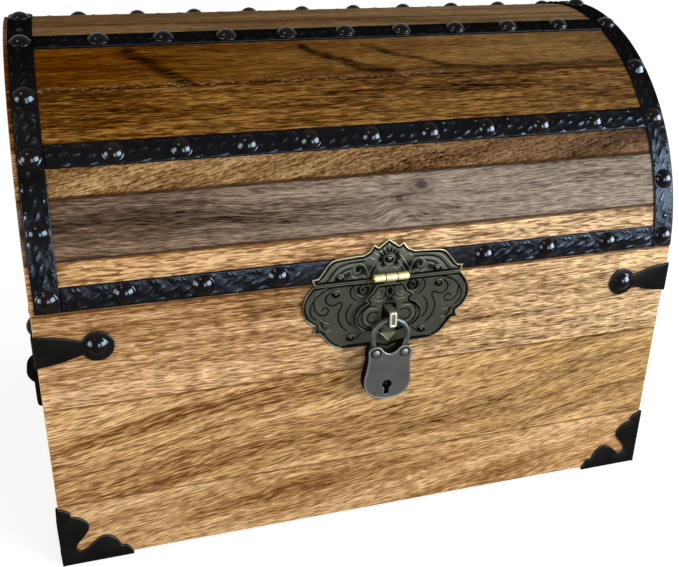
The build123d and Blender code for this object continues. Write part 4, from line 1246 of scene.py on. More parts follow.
@dataclass
class DomedLid:
    """The lid's staves and end boards."""

    frame: ChestFrame
    tan: WoodFinish = WoodFinish(
        dark=paint(90, 54, 22), middle=paint(154, 108, 60), light=paint(220, 182, 132), seed=2.3, sway=3.0,
        contrast=1.1, pores=1.0, shimmer=0.16, drift_and_light=0.8, drift_and_light_colour=paint(196, 168, 134),
    )
    grey: WoodFinish = WoodFinish(
        dark=paint(44, 30, 22), middle=paint(98, 77, 60), light=paint(156, 130, 108), seed=7.9, sway=9.0,
        contrast=0.9, pores=0.5, drift_and_light=0.95, drift_end=90.0, drift_and_light_colour=paint(131, 119, 107), shimmer=0.12,
        marks=(Mark(((-178.0, 49.0), (-140.0, 53.5), (-92.0, 56.0)), 2.6, 0.5),),
        knots=(Knot(24.0, 56.0, 5.4), Knot(11.0, 49.5, 3.4)),
    )
    speckled: WoodFinish = WoodFinish(
        dark=paint(60, 36, 10), middle=paint(138, 103, 62), light=paint(188, 156, 112), seed=13.1, rise=0.22,
        sway=12.0, contrast=0.8, pores=0.7, speckle=1.6, drift_and_light=0.9, drift_and_light_colour=paint(92, 70, 52),
        marks=(Mark(((116.0, 66.0), (146.0, 72.0), (178.0, 75.0)), 6.0, 0.4),),
    )
    golden: WoodFinish = WoodFinish(
        dark=paint(34, 12, 0), middle=paint(90, 53, 10), light=paint(156, 114, 54), seed=19.7, sway=4.0,
        pores=0.8, drift_and_light=0.7, drift_and_light_colour=paint(104, 78, 45),
    )
    figured: WoodFinish = WoodFinish(
        dark=paint(44, 14, 0), middle=paint(88, 46, 0), light=paint(134, 94, 30), seed=29.3, sway=9.0, rise=0.02,
        contrast=0.7, pores=0.5, shimmer=0.18, drift_and_light=1.0, drift_and_light_colour=paint(101, 77, 44), chips=0.5,
        marks=(
            Mark(((-118.0, 148.0), (-108.0, 138.0), (-90.0, 121.0)), 3.4, 0.88),
            Mark(((-24.0, 147.0), (-16.0, 138.0), (4.0, 128.0), (22.0, 123.0)), 3.2, 0.88),
            Mark(((10.0, 146.0), (34.0, 134.0), (60.0, 124.0), (96.0, 122.5), (168.0, 124.0)), 2.0, 0.75),
        ),
    )
    crown: WoodFinish = WoodFinish(
        dark=paint(66, 42, 20), middle=paint(110, 82, 50), light=paint(146, 118, 84), seed=37.1, sway=5.0,
        contrast=0.7, pores=0.4, drift_and_light=0.6, drift_and_light_colour=paint(122, 101, 72),
    )

    def dress(self, nodes: dict[str, bpy.types.Object]) -> None:
        """Gives each stave and end board its material.

        Args:
            nodes: The frame's objects by name.
        """
        order = (
            self.tan, self.grey, self.speckled, self.golden, self.figured, self.crown,
            self.crown, self.crown, self.figured, self.golden, self.grey, self.tan,
        )
        for number, look in enumerate(order, 1):
            name = f"lid_stave_{number:02d}"
            cover(nodes[name], look.lid_board(f"{name}_wood", self.frame, self.arc_edges(nodes[name])))
        for name in ("lid_end_left", "lid_end_right"):
            far = math.copysign(self.frame.half_length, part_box(name)[0].x)
            edges = (self.frame.lid_bottom, 2 * self.frame.lid_radius + self.frame.lid_centre_z)
            cover(nodes[name], self.tan.flat_board(f"{name}_wood", 1, 4 * self.frame.half_length, far, edges))
        LOG.info("lid: %d staves finished", len(order))

    def arc_edges(self, node: bpy.types.Object) -> Point:
        """Lengths of arc from the front to a stave's two edges.

        Args:
            node: The stave, whose outer points give the angles.

        Returns:
            The two lengths.
        """
        flat = np.empty(3 * len(node.data.vertices), np.float32)
        node.data.vertices.foreach_get("co", flat)
        points = flat.reshape(-1, 3) / METRES
        height, reach = points[:, 2] - self.frame.lid_centre_z, self.frame.centre_y - points[:, 1]
        outside = np.hypot(height, reach) > self.frame.lid_radius - 0.2
        arc = np.arctan2(height[outside], reach[outside]) * self.frame.lid_radius
        return float(arc.min()), float(arc.max())


# Distance between the leaves of a strap's embossed rope
LEAF_PITCH = 6.3


@dataclass(frozen=True)
class LeafRow:
    """A row of slanted ridges along a strap. Its pitch is in leaf pitches, and its slant in degrees."""

    pitches: float
    slant: float
    half_length: float
    half_width: float
    start: float = 0.0
    middle: float = 0.0

    def height_at(self, along: Array, across: Array) -> Array:
        """The row's height: each ridge is an ellipse, which repeats along the strap.

        Args:
            along: Place along the strap.
            across: Place across it, from its middle line.

        Returns:
            The height, from 0 to 1.
        """
        pitch = LEAF_PITCH * self.pitches
        u = np.mod(along - self.start, pitch) - pitch / 2
        v = across - self.middle
        turn = math.radians(self.slant)
        lengthways = (u * math.cos(turn) + v * math.sin(turn)) / self.half_length
        sideways = (v * math.cos(turn) - u * math.sin(turn)) / self.half_width
        return ridge(np.hypot(lengthways, sideways), 1.0)


@dataclass
class StrapWork:
    """The embossed straps, the end bands and their nails.

    A row of nails is their number, their pitch as a share of the length, and the place of its middle.
    """

    frame: ChestFrame
    iron: Material
    lacquer: Material
    width: float = 12.4
    thickness: float = 1.2
    edge_radius: float = 0.55
    left_inset: float = 2.2
    right_inset: float = 0.4
    end_lift: float = 0.8
    low_rise: float = 7.1
    middle_angle: float = 37.8
    high_angle: float = 71.5
    crown_nail_angle: float = 88.5
    gap_nail_angles: Point = (21.5, 53.0)
    low_row: tuple[int, float, float] = (8, 0.1076, 0.8)
    middle_row: tuple[int, float, float] = (9, 0.0926, 0.3)
    high_row: tuple[int, float, float] = (9, 0.0946, 3.7)
    rear_row: tuple[int, float, float] = (9, 0.0967, 0.0)
    brads: tuple[tuple[str, float], ...] = (("left", 77.5), ("left", 168.0), ("right", 12.0), ("right", 102.5))
    hasp_x: float = 2.8
    hasp_half_width: float = 47.2
    head: Head = Head(5.5, 3.2)
    brad: Head = Head(1.7, 0.8)
    rope: LeafRow = LeafRow(1.0, 27.0, 4.6, 0.85)
    rope_drop: float = 0.6
    rope_sway: float = 1.1
    edge_rows: tuple[LeafRow, ...] = (
        LeafRow(2.0, -42.0, 2.1, 0.55, 0.0, 4.1), LeafRow(2.0, -42.0, 2.1, 0.55, 2.3, 4.1),
        LeafRow(3.0, 6.0, 3.0, 0.5, 7.0, 4.3), LeafRow(2.0, 10.0, 4.0, 0.55, 3.5, -4.9),
    )
    emboss: float = 0.42
    hammer: float = 0.10
    edge_fade: float = 0.8
    nail_fade: float = 1.2
    step: float = 0.5
    top_columns: int = 27
    under_columns: int = 5

    @property
    def low_angle(self) -> float:
        """Angle of the low straps' middle line."""
        return self.frame.rim_angle + math.degrees(self.low_rise / self.frame.lid_radius)

    @property
    def angles(self) -> tuple[float, ...]:
        """Angles of the six cross straps, from the front over the top."""
        front = (self.low_angle, self.middle_angle, self.high_angle)
        return (*front, *(180 - angle for angle in reversed(front)))

    @property
    def seat_radius(self) -> float:
        """Radius of the straps' outer face."""
        return self.frame.lid_radius + self.thickness

    @property
    def bands(self) -> dict[str, float]:
        """Middle line of each end band."""
        half = self.frame.half_length
        return {
            "left": -half + self.left_inset + self.width / 2,
            "right": half - self.right_inset - self.width / 2,
        }

    def relief(self, along: Array, across: Array) -> Array:
        """Height of the embossed twist.

        Slanted leaves follow one another along the middle, as in a rope that sways. Short strokes and
        dashes take turns along both edges. Slow waves stand for the hammering.

        Args:
            along: Place along the strap.
            across: Place across it, from its middle line.

        Returns:
            The height.
        """
        sway = self.rope_sway * np.sin(2 * np.pi * along / (6 * LEAF_PITCH))
        rows = [self.rope.height_at(along, across + self.rope_drop - sway)]
        rows += [row.height_at(along, across) for row in self.edge_rows]
        hammered = np.sin(along * 0.43 + 1.7 * np.sin(along * 0.11)) * np.sin(across * 0.62 + along * 0.17)
        return self.emboss * np.maximum.reduce(rows) + self.hammer * hammered

    def strip(
        self, kind: str, length: float, place: Place, nails: Array, start: float = 0.0, hidden: float = 0.0
    ) -> None:
        """Makes one strap as a closed strip, with no relief under its nails and behind the hasp.

        Args:
            kind: End of the piece's and the node's name.
            length: Its length.
            place: Takes places along and across and the height to the row frame.
            nails: Places of its nails along it.
            start: Where it starts along the lid.
            hidden: Half the stretch that the hasp hides.
        """
        rows = np.linspace(0, length, int(length / self.step))[:, None]
        half = self.width / 2
        across = half * np.sin(np.linspace(-np.pi / 2, np.pi / 2, self.top_columns))[None]
        along, across = np.broadcast_arrays(rows, across)
        reach = np.hypot(along[..., None] - nails, across[..., None]).min(-1)
        bare = np.clip((reach - self.head.radius) / self.nail_fade, 0, 1)
        bare = bare * (np.abs(along + start - self.hasp_x) >= hidden)
        edge = np.minimum(half - np.abs(across), np.minimum(along, length - along))
        raised = self.relief(along, across) * bare * np.clip(edge / self.edge_fade, 0, 1)
        top = place(along, across, self.thickness - edge_drop(edge, self.edge_radius) + raised)
        under = np.zeros((len(rows), self.under_columns))
        under_across = np.broadcast_to(np.linspace(half, -half, self.under_columns)[None], under.shape)
        bottom = place(np.broadcast_to(rows, under.shape), under_across, under)
        worn = np.concatenate([np.clip(raised / 0.4, 0, 1), under], axis=1)
        skin = Skin()
        skin.add(np.concatenate([top, bottom], axis=1), worn)
        skin.piece(f"embossed_{kind}", self.iron, Body.LID, Slot.IRON, (f"lid_{kind}",))

    def nail_row(self, angle: float) -> list[float]:
        """Places along a cross strap of its own nails.

        Args:
            angle: The strap's angle.

        Returns:
            The places. The front low strap has none behind the hasp.
        """
        rows = (self.low_row, self.middle_row, self.high_row, self.rear_row, self.rear_row, self.low_row)
        count, share, middle = rows[self.angles.index(angle)]
        pitch = 2 * self.frame.half_length * share
        row = [middle + pitch * (i - (count - 1) / 2) for i in range(count)]
        if angle != self.low_angle:
            return row
        clear = self.hasp_half_width + self.head.radius / 2
        return [x for x in row if abs(x - self.hasp_x) > clear]

    def straps(self) -> None:
        """Makes the six cross straps."""
        start = self.bands["left"] + self.width / 2
        length = self.bands["right"] - self.width / 2 - start
        names = ("front_low", "front_middle", "front_high", "back_high", "back_middle", "back_low")
        radius = self.frame.lid_radius
        for name, angle in zip(names, self.angles):

            def place(along: Array, across: Array, height: Array, angle: float = angle) -> Array:
                """Along the lid, across its arc and out from it."""
                return self.frame.on_lid(start + along, angle + np.degrees(across / radius), radius + height)

            nails = np.array(self.nail_row(angle)) - start
            hidden = self.hasp_half_width + 1 if angle == self.low_angle else 0
            self.strip(f"strap_{name}", length, place, nails, start, hidden)

    def end_bands(self) -> None:
        """Makes the two bands from rim to rim."""
        radius = self.frame.lid_radius
        first = self.frame.rim_angle + math.degrees(self.end_lift / radius)
        length = math.radians(180 - 2 * first) * radius
        nails = radius * np.radians(np.array(self.band_angles) - first)
        for name, centre in self.bands.items():

            def place(along: Array, across: Array, height: Array, centre: float = centre) -> Array:
                """Over the lid's arc, along the lid and out from it."""
                return self.frame.on_lid(centre + across, first + np.degrees(along / radius), radius + height)

            self.strip(f"band_{name}", length, place, nails)

    @property
    def band_angles(self) -> tuple[float, ...]:
        """Angles of a band's nails."""
        gaps = self.gap_nail_angles
        return (*self.angles, *gaps, *(180 - angle for angle in gaps), self.crown_nail_angle)

    def heads(self) -> None:
        """Makes the nails' and brads' heads."""
        places = [(x, angle, self.head) for angle in self.angles for x in self.nail_row(angle)]
        places += [(x, angle, self.head) for x in self.bands.values() for angle in self.band_angles]
        places += [(self.bands[side], angle, self.brad) for side, angle in self.brads]
        skin = Skin()
        for x, angle, head in places:
            base = self.frame.on_lid(np.array(x), np.array(angle), np.array(self.seat_radius))
            head.add(skin, base, self.frame.outwards(angle))
        skin.piece("domed_nails_lid", self.lacquer, Body.LID, Slot.NAIL, ("lid_nails",), crease=HEAD_CREASE)


@dataclass
class CornerWork:
    """The corner irons at the foot, and the nailed braces near the rim."""

    frame: ChestFrame
    iron: Material
    lacquer: Material
    thickness: float = 1.2
    iron_edge: float = 0.5
    iron_crown: float = 0.8
    reach: float = 37.0
    lobes: tuple[Point, ...] = (
        (0.0, 1.0), (0.095, 0.955), (0.152, 0.905), (0.168, 0.835), (0.235, 0.805), (0.330, 0.745),
        (0.395, 0.650), (0.388, 0.550), (0.305, 0.430), (0.225, 0.340), (0.192, 0.265), (0.212, 0.212),
    )
    brace_drop: float = 18.9
    root_height: float = 17.3
    neck_height: float = 7.5
    neck_reach: float = 22.0
    disc_reach: float = 29.5
    disc_radius: float = 8.1
    swell_share: float = 0.2
    brace_edge: float = 0.45
    brace_crown: float = 0.25
    crown_start: float = 0.6
    crown_fade: float = 4.0
    fold_fade: float = 6.0
    head: Head = Head(5.5, 3.0)
    head_lift: float = 0.2

    def corner_place(self, side_x: int, side_y: int, face: int, foot: float) -> Place:
        """Seats a plate on one of a corner's faces.

        Args:
            side_x: -1 at the left and 1 at the right.
            side_y: -1 at the front and 1 at the back.
            face: 0 for the front or back, 1 for the end and 2 for the bottom.
            foot: Height of the plate's origin.

        Returns:
            The place function: inwards from the corner, upwards (or inwards on the bottom) and outwards.
        """
        corner_x = side_x * self.frame.half_length
        corner_y = self.frame.front_y if side_y < 0 else self.frame.back_y

        def place(u: Array, v: Array, h: Array) -> Array:
            """Takes the plate's own coordinates to the row frame."""
            if face == 0:
                return np.stack([corner_x - side_x * u, corner_y + side_y * h, foot + v], -1)
            if face == 1:
                return np.stack([corner_x + side_x * h, corner_y - side_y * u, foot + v], -1)
            return np.stack([corner_x - side_x * u, corner_y - side_y * v, foot - h], -1)

        return place

    def irons(self) -> None:
        """Makes the four three-sided irons: each face is two ruled halves that meet on the diagonal."""
        edge = flowing(np.array(self.lobes) * self.reach, 9)
        fold = -self.thickness
        diagonal = np.linspace(edge[-1, 0], fold, 14)[1:]
        far = np.vstack([edge, np.stack([diagonal, diagonal], 1)])
        near = np.stack([np.full(len(far), fold), far[:, 1]], 1)
        u, v = ruled(near, far, 22)
        rim = distance_to(u, v, np.vstack([edge, edge[::-1, ::-1]]))
        inwards = np.minimum(u, v) + self.thickness
        bulge, held = np.sin(np.clip((rim - 0.9) / 5.0, 0, 1) * np.pi / 2), np.clip(inwards / self.fold_fade, 0, 1)
        lowered = np.maximum(edge_drop(rim, self.iron_edge), edge_drop(inwards, self.iron_edge))
        worn = ridge(rim - 0.45, 0.5)
        for name, (side_x, side_y) in corner_names().items():
            skin = Skin()
            for face, crown in enumerate((self.iron_crown, self.iron_crown, 0.0)):
                place = self.corner_place(side_x, side_y, face, self.frame.wood_bottom)
                height = self.thickness - lowered + crown * bulge * held
                two_faced(skin, place, (u, v), height, worn)
                two_faced(skin, place, (v, u), height, worn)
            skin.piece(f"pressed_iron_{name}", self.iron, Body.CHEST, Slot.IRON, (f"corner_iron_{name}",))

    def braces(self) -> None:
        """Makes the four braces: each arm swells from its neck to the fold and ends in a round disc."""
        root, neck = self.root_height / 2, self.neck_height / 2
        swell = (root + neck) / 2 + neck * self.swell_share
        arm = flowing(((0.0, root), (self.neck_reach / 2, swell), (self.neck_reach, neck)), 8)
        arm = np.vstack([(-self.thickness, root), arm])
        meet = math.asin(neck / self.disc_radius)
        turn = np.linspace(math.pi - meet, 0.04, 26)
        disc = np.stack([self.disc_reach + self.disc_radius * np.cos(turn), self.disc_radius * np.sin(turn)], 1)
        upper = np.vstack([arm, disc])
        lower = upper * (1, -1)
        sheet = Sheet(self.thickness, self.brace_edge)

        def lift(distance: Array, u: Array) -> tuple[Array, Array]:
            """A soft crown inside the rim, which is worn."""
            bulge = np.sin(np.clip((distance - self.crown_start) / self.crown_fade, 0, 1) * np.pi / 2)
            crown = self.brace_crown * bulge * np.clip(u / self.fold_fade, 0, 1)
            return crown, ridge(distance - sheet.edge / 2, sheet.edge)

        foot = self.frame.parting_z - self.brace_drop
        for name, (side_x, side_y) in corner_names().items():
            skin = Skin()
            for face in (0, 1):
                place = self.corner_place(side_x, side_y, face, foot)
                ruled_plate(skin, lower, upper, sheet, lift, place, 24)
            skin.piece(f"pressed_brace_{name}", self.iron, Body.CHEST, Slot.IRON, (f"corner_brace_{name}",))

    def heads(self) -> None:
        """Makes the braces' eight nail heads."""
        foot = self.frame.parting_z - self.brace_drop
        skin = Skin()
        for side_x, side_y in corner_names().values():
            for face, axis in enumerate(((0.0, side_y, 0.0), (side_x, 0.0, 0.0))):
                place = self.corner_place(side_x, side_y, face, foot)
                base = place(np.array(self.disc_reach), np.array(0.0), np.array(self.thickness + self.head_lift))
                self.head.add(skin, base, np.array(axis))
        skin.piece("domed_nails_braces", self.lacquer, Body.CHEST, Slot.NAIL, ("brace_nails",), crease=HEAD_CREASE)


def corner_names() -> dict[str, tuple[int, int]]:
    """Each corner's name with its sides: left or right, and front or back."""
    return {f"{d}_{s}": (x, y) for d, y in (("front", -1), ("back", 1)) for s, x in (("left", -1), ("right", 1))}


@dataclass
class Hasp:
    """The pressed hasp: a crown plate on the lid, a wide plate on the body, the flap and its barrel."""

    frame: ChestFrame
    patina: Material
    brass: Material
    pale_steel: Material
    centre_x: float = 2.8
    thickness: float = 1.2
    edge: float = 0.4
    strap_thickness: float = 1.2
    axis_rise: float = 2.3
    axis_proud: float = 4.8
    knuckle_radius: float = 2.1
    knuckle_length: float = 6.3
    knuckle_gap: float = 0.25
    flap_back: float = 2.9
    flap_thickness: float = 1.3
    slot_half_width: float = 4.0
    slot_top: float = -15.5
    slot_bottom: float = -28.5
    staple_drop: float = 19.6
    staple_height: float = 9.5
    staple_width: float = 4.0
    staple_reach: float = 11.0
    rim_height: float = 0.38
    rim_inset: float = 0.38
    rim_half_width: float = 0.45
    ornament_inset: float = 0.9
    ornament_fade: float = 0.7
    outline_points: int = 900
    flap_outline_points: int = 700
    slot_power: float = 0.25
    leaf_drop: float = 5.0
    web_foot: float = 1.4
    web_half_height: float = 0.6
    border_power: float = 0.3
    screw_radius: float = 2.3
    screw_height: float = 0.98
    lid_screws: tuple[Point, ...] = ((27.4, 3.6), (0.0, 11.4))
    body_screws: tuple[Point, ...] = ((29.1, -5.1), (20.4, -32.0))
    crown_outline: Runs = (
        (Run.STRAIGHT, ((0.0, 21.5), (5.6, 17.6), (8.3, 19.2), (10.6, 16.0), (14.2, 14.4))),
        (Run.CURVED, ((14.2, 14.4), (22.8, 14.0), (29.9, 13.3), (33.2, 11.3), (36.5, 7.2), (39.0, 4.3))),
        (Run.STRAIGHT, ((39.0, 4.3), (42.2, 3.9), (41.0, 0.3), (0.0, 0.3))),
    )
    wide_outline: Runs = (
        (Run.STRAIGHT, ((0.0, -0.1), (41.5, -0.1))),
        (Run.CURVED, ((41.5, -0.1), (45.0, -4.6), (47.2, -10.4), (46.8, -15.7), (44.2, -20.2), (40.4, -23.2))),
        (Run.STRAIGHT, ((40.4, -23.2), (40.3, -24.9), (41.6, -27.3), (38.0, -27.7))),
        (Run.CURVED, ((38.0, -27.7), (35.2, -31.0), (32.0, -35.0), (28.3, -37.3), (24.0, -38.6), (13.5, -38.7))),
        (Run.STRAIGHT, ((13.5, -38.7), (6.0, -39.2), (0.0, -41.0))),
    )
    flap_outline: Runs = (
        (Run.STRAIGHT, ((0.0, -4.0), (7.3, -4.0), (10.0, -8.5), (14.0, -11.7), (12.0, -14.3), (15.5, -16.3))),
        (Run.CURVED, ((15.5, -16.3), (18.3, -20.5), (18.5, -24.5), (17.3, -27.8), (14.3, -30.5))),
        (Run.STRAIGHT, ((14.3, -30.5), (9.5, -31.8), (5.0, -33.0), (0.0, -38.5))),
    )
    crown_strokes: tuple[Stroke, ...] = (
        Stroke(((9.5, 6.0), (16.5, 6.6)), 5.6, -0.16),
        Stroke(((3.4, 8.6), (4.8, 12.6), (0.0, 16.0)), 2.8, -0.16),
        Stroke(((22.0, 5.0), (26.0, 3.4)), 3.0, -0.12),
        Stroke(((13.4, 12.2), (22.0, 12.0), (28.5, 10.6), (32.6, 7.2), (35.4, 3.8), (38.4, 2.6)), 0.5, 0.24),
        engraved((13.8, 11.0), (22.0, 10.7), (27.6, 9.2), (31.2, 6.0), (33.8, 2.6), (36.6, 1.4)),
        Stroke(((20.0, 9.6), (26.0, 8.2), (29.3, 5.4), (31.8, 2.2)), 0.5, 0.24),
        engraved((20.4, 8.2), (25.4, 6.8), (28.0, 4.2), (30.0, 1.6)),
        Stroke(((21.8, 6.8), (25.0, 5.4), (27.4, 2.6), (28.6, 1.4)), 0.48, 0.2),
        Stroke(((11.5, 3.0), (13.2, 7.6), (16.4, 10.0), (19.4, 8.4), (19.0, 5.6), (16.8, 5.0), (16.0, 6.8)),
               0.7, 0.3),
        Stroke(((18.2, 2.2), (20.8, 3.6), (21.2, 6.0)), 0.6, 0.26),
        Stroke(((13.2, 1.6), (14.6, 3.4), (16.6, 3.0)), 0.55, 0.24),
        Stroke(((12.2, 1.2), (11.4, 4.6), (9.4, 7.8), (7.2, 11.2), (5.4, 13.2)), 0.55, 0.3),
        Stroke(((8.6, 2.2), (8.2, 5.0), (6.4, 7.4)), 0.55, 0.26),
        Stroke(((0.0, 15.6), (0.0, 18.8)), 0.7, 0.34),
        Stroke(((1.6, 14.6), (3.0, 17.0)), 0.6, 0.3),
        Stroke(((3.4, 13.8), (5.2, 16.0)), 0.6, 0.3),
        Stroke(((5.4, 12.8), (8.2, 14.8)), 0.6, 0.28),
        Stroke(((8.2, 11.2), (10.8, 12.6), (12.6, 11.4)), 0.6, 0.28),
        Stroke(((2.8, 12.6), (1.6, 13.9), (0.0, 14.3)), 0.42, 0.22),
        Stroke(((3.1, 10.2), (1.9, 8.5), (0.0, 7.9)), 0.42, 0.22),
        Stroke(((4.4, 9.8), (6.0, 8.4), (5.8, 6.2), (4.0, 5.6), (2.0, 6.2)), 0.55, 0.26),
    )
    wide_strokes: tuple[Stroke, ...] = (
        # painted shadow: a broad shallow sunk stroke behind the flap's slot, where the staple passes, is dark
        Stroke(((0.0, -17.0), (0.0, -27.0)), 6.0, -0.5),
        Stroke(((12.6, -5.0), (15.8, -5.0)), 5.4, -0.16),
        Stroke(((36.6, -21.0), (35.0, -27.0)), 2.8, -0.12),
        engraved((12.0, -1.6), (24.0, -1.3), (33.0, -2.4), (39.0, -5.8), (42.6, -11.2), (42.6, -16.2), (39.8, -19.4)),
        engraved((41.0, -9.0), (40.4, -13.6), (37.6, -16.8), (34.2, -16.8), (33.0, -14.2), (35.2, -12.6),
                 (36.8, -14.2)),
        Stroke(((39.6, -9.0), (39.2, -12.6), (37.2, -15.2)), 0.5, 0.18),
        engraved((31.6, -4.0), (34.4, -6.6), (34.2, -9.8), (31.2, -12.0), (28.2, -11.2), (26.4, -10.4), (25.6, -12.4),
                 (27.2, -16.0), (27.6, -20.0), (25.8, -24.6), (22.8, -28.0)),
        engraved((22.4, -33.6), (17.6, -33.0), (14.8, -30.6)),
        Stroke(((37.4, -19.6), (35.4, -21.6), (35.0, -24.4)), 0.6, 0.34),
        Stroke(((35.2, -21.8), (33.0, -22.2)), 0.5, 0.3),
        Stroke(((38.0, -23.2), (36.2, -25.6), (33.2, -28.2)), 0.6, 0.34),
        Stroke(((34.0, -26.4), (31.6, -26.8)), 0.5, 0.3),
        Stroke(((44.4, -7.6), (45.0, -11.4), (44.0, -15.8)), 0.45, 0.28),
        Stroke(((33.6, -1.4), (37.4, -2.4), (40.0, -4.6)), 0.45, 0.24),
        Stroke(((9.8, -4.4), (11.4, -1.2), (15.0, -1.0), (17.8, -3.0), (17.4, -6.8), (14.2, -8.8), (11.0, -7.6),
                (9.8, -4.4)), 0.6, 0.26),
        Stroke(((13.8, -2.8), (15.6, -4.2), (14.2, -6.4), (12.2, -5.2), (13.4, -4.2)), 0.55, 0.28),
        engraved((19.8, -2.0), (21.2, -5.0), (20.2, -8.4), (17.8, -10.6)),
        engraved((20.6, -12.6), (23.0, -16.8), (22.8, -21.6), (20.4, -25.0)),
        *(Stroke(((x, y),), 0.85, 0.5) for x, y in (
            (36.0, -30.2), (33.4, -33.2), (30.0, -35.6), (26.2, -36.9))),
        engraved((22.6, -36.8), (12.0, -37.0), (6.0, -37.6)),
    )
    flap_strokes: tuple[Stroke, ...] = (
        Stroke(((0.0, -7.0), (0.0, -12.0)), 6.5, -0.15),
        engraved((7.6, -16.6), (11.4, -16.5), (14.5, -18.9), (15.5, -23.2), (14.0, -27.0), (10.4, -29.2)),
        Stroke(((7.2, -18.4), (10.8, -18.0), (13.4, -20.4), (14.0, -23.8), (12.4, -26.6), (9.4, -28.0)), 0.5, 0.22),
        engraved((6.6, -20.4), (9.8, -20.0), (11.9, -22.0), (11.8, -24.8), (9.4, -26.4), (7.0, -25.4)),
        Stroke(((0.0, -5.4), (1.9, -7.6), (1.2, -10.4), (0.0, -12.0)), 0.55, 0.28),
        Stroke(((4.0, -5.2), (3.4, -8.6), (4.8, -11.2), (7.4, -11.4), (7.2, -9.6), (6.0, -9.4)), 0.5, 0.26),
        Stroke(((2.0, -12.2), (4.6, -13.8), (8.6, -13.6)), 0.5, 0.26),
        Stroke(((6.2, -5.2), (8.6, -9.6), (11.8, -12.2)), 0.45, 0.3),
        Stroke(((0.0, -31.0), (0.0, -34.0)), 0.6, 0.22),
        engraved((3.0, -30.6), (6.4, -31.4)),
        *(Stroke(((17.1 + 0.25 * math.sin(k), -18.9 - 1.55 * k),), 0.62, 0.48) for k in range(7)),
    )

    def flat_place(self, foot: float, proud: float) -> Place:
        """Seats a flat plate in front of the chest.

        Args:
            foot: Height of the plate's origin.
            proud: How far its underside stands off the wood.

        Returns:
            The place function.
        """

        def place(x: Array, y: Array, h: Array) -> Array:
            """Right, up and forwards."""
            return np.stack([self.centre_x + x, self.frame.front_y - proud - h, foot + y], -1)

        return place

    def crown_place(self, x: Array, y: Array, h: Array) -> Array:
        """Bends the crown plate to the lid: the height above the rim gives the angle.

        Args:
            x: Place to the right of the hasp's middle.
            y: Height above the lid's rim.
            h: Height off the strap.

        Returns:
            The points in the row frame.
        """
        radius = self.frame.lid_radius + self.strap_thickness
        drop = self.frame.lid_bottom - self.frame.lid_centre_z
        angle = np.degrees(np.arcsin((drop + y) / (radius + self.thickness / 2)))
        return self.frame.on_lid(self.centre_x + x, angle, radius + h)

    def lifted(
        self,
        strokes: Sequence[Stroke],
        outline: Array,
        rim_tone: float,
        dull_below: float = math.inf,
        painted_highlight_below: float = -math.inf,
    ) -> Lift:
        """The relief of a plate: its strokes inside a raised rim.

        Args:
            strokes: The plate's ornament.
            outline: Its closed outline.
            rim_tone: How worn the rim is.
            dull_below: Height under which the rim is duller.
            painted_highlight_below: Height under which the plate is painted lighter: a painted highlight on the flap's
                tip.

        Returns:
            The function that gives height and wear.
        """
        closed = looped(outline)

        def lift(x: Array, y: Array) -> tuple[Array, Array]:
            """Height of rim and strokes, and the wear that follows it: sunk strokes are dark, the rim's foot has
            painted shade, and below a given height a painted highlight.
            """
            distance = distance_to(x, y, closed)
            rim = ridge(distance - self.rim_inset, self.rim_half_width)
            inside = np.clip((distance - self.ornament_inset) / self.ornament_fade, 0, 1)
            raised, sunk = (part * inside for part in ornament(strokes, x, y))
            height = self.rim_height * rim + (0.65 * raised + 0.5 * sunk) * (1 - rim)
            worn = PLAIN + 0.34 * np.clip(raised / 0.32, 0, 1.2) + 0.45 * np.clip(sunk / 0.2, -1, 0)
            # painted shade: the wear is lowered along the foot of the rim, darkening the crease inside it
            worn = worn - ridge(distance - 1.5, 0.6) * 0.35
            dull = 1 - 0.6 * ridge(y - dull_below, 2.0)
            worn = worn * (1 - rim) + (PLAIN + 0.66 * rim_tone * dull) * rim
            # painted highlight: below that height the wear is raised, so the flap's tip is painted lighter
            return height, np.maximum(worn, 0.7 * np.clip((painted_highlight_below - y) / 0.8, 0, 1))

        return lift

    @staticmethod
    def sunk_seats(screws: Sequence[Point]) -> tuple[Stroke, ...]:
        """The hollows that screws sit in."""
        return tuple(Stroke((at,), 3.2, -0.30) for at in screws)

    def plates(self) -> None:
        """Makes the crown plate, the wide plate and the flap with the short leaf that holds its knuckle."""
        sheet = Sheet(self.thickness, self.edge)
        crown = evenly(mirrored_outline(self.crown_outline), self.outline_points)
        strokes = (*self.sunk_seats(self.lid_screws), *self.crown_strokes)
        lift = self.lifted(strokes, crown, 1.0, dull_below=0.3)
        skin = Skin()
        pressed_plate(skin, crown, np.array([[0.0, 8.2]]), sheet, lift, self.crown_place, (84, 620))
        skin.piece("pressed_crown_plate", self.patina, Body.LID, Slot.BRONZE, ("hasp_lid_plate",))
        wide = evenly(mirrored_outline(self.wide_outline), self.outline_points)
        strokes = (*self.sunk_seats(self.body_screws), *self.wide_strokes)
        place = self.flat_place(self.frame.parting_z, 0.0)
        skin = Skin()
        pressed_plate(skin, wide, np.array([[0.0, -18.0]]), sheet, self.lifted(strokes, wide, 0.9), place, (110, 640))
        skin.piece("pressed_wide_plate", self.patina, Body.CHEST, Slot.BRONZE, ("hasp_body_plate",))
        flap = evenly(mirrored_outline(self.flap_outline), self.flap_outline_points)
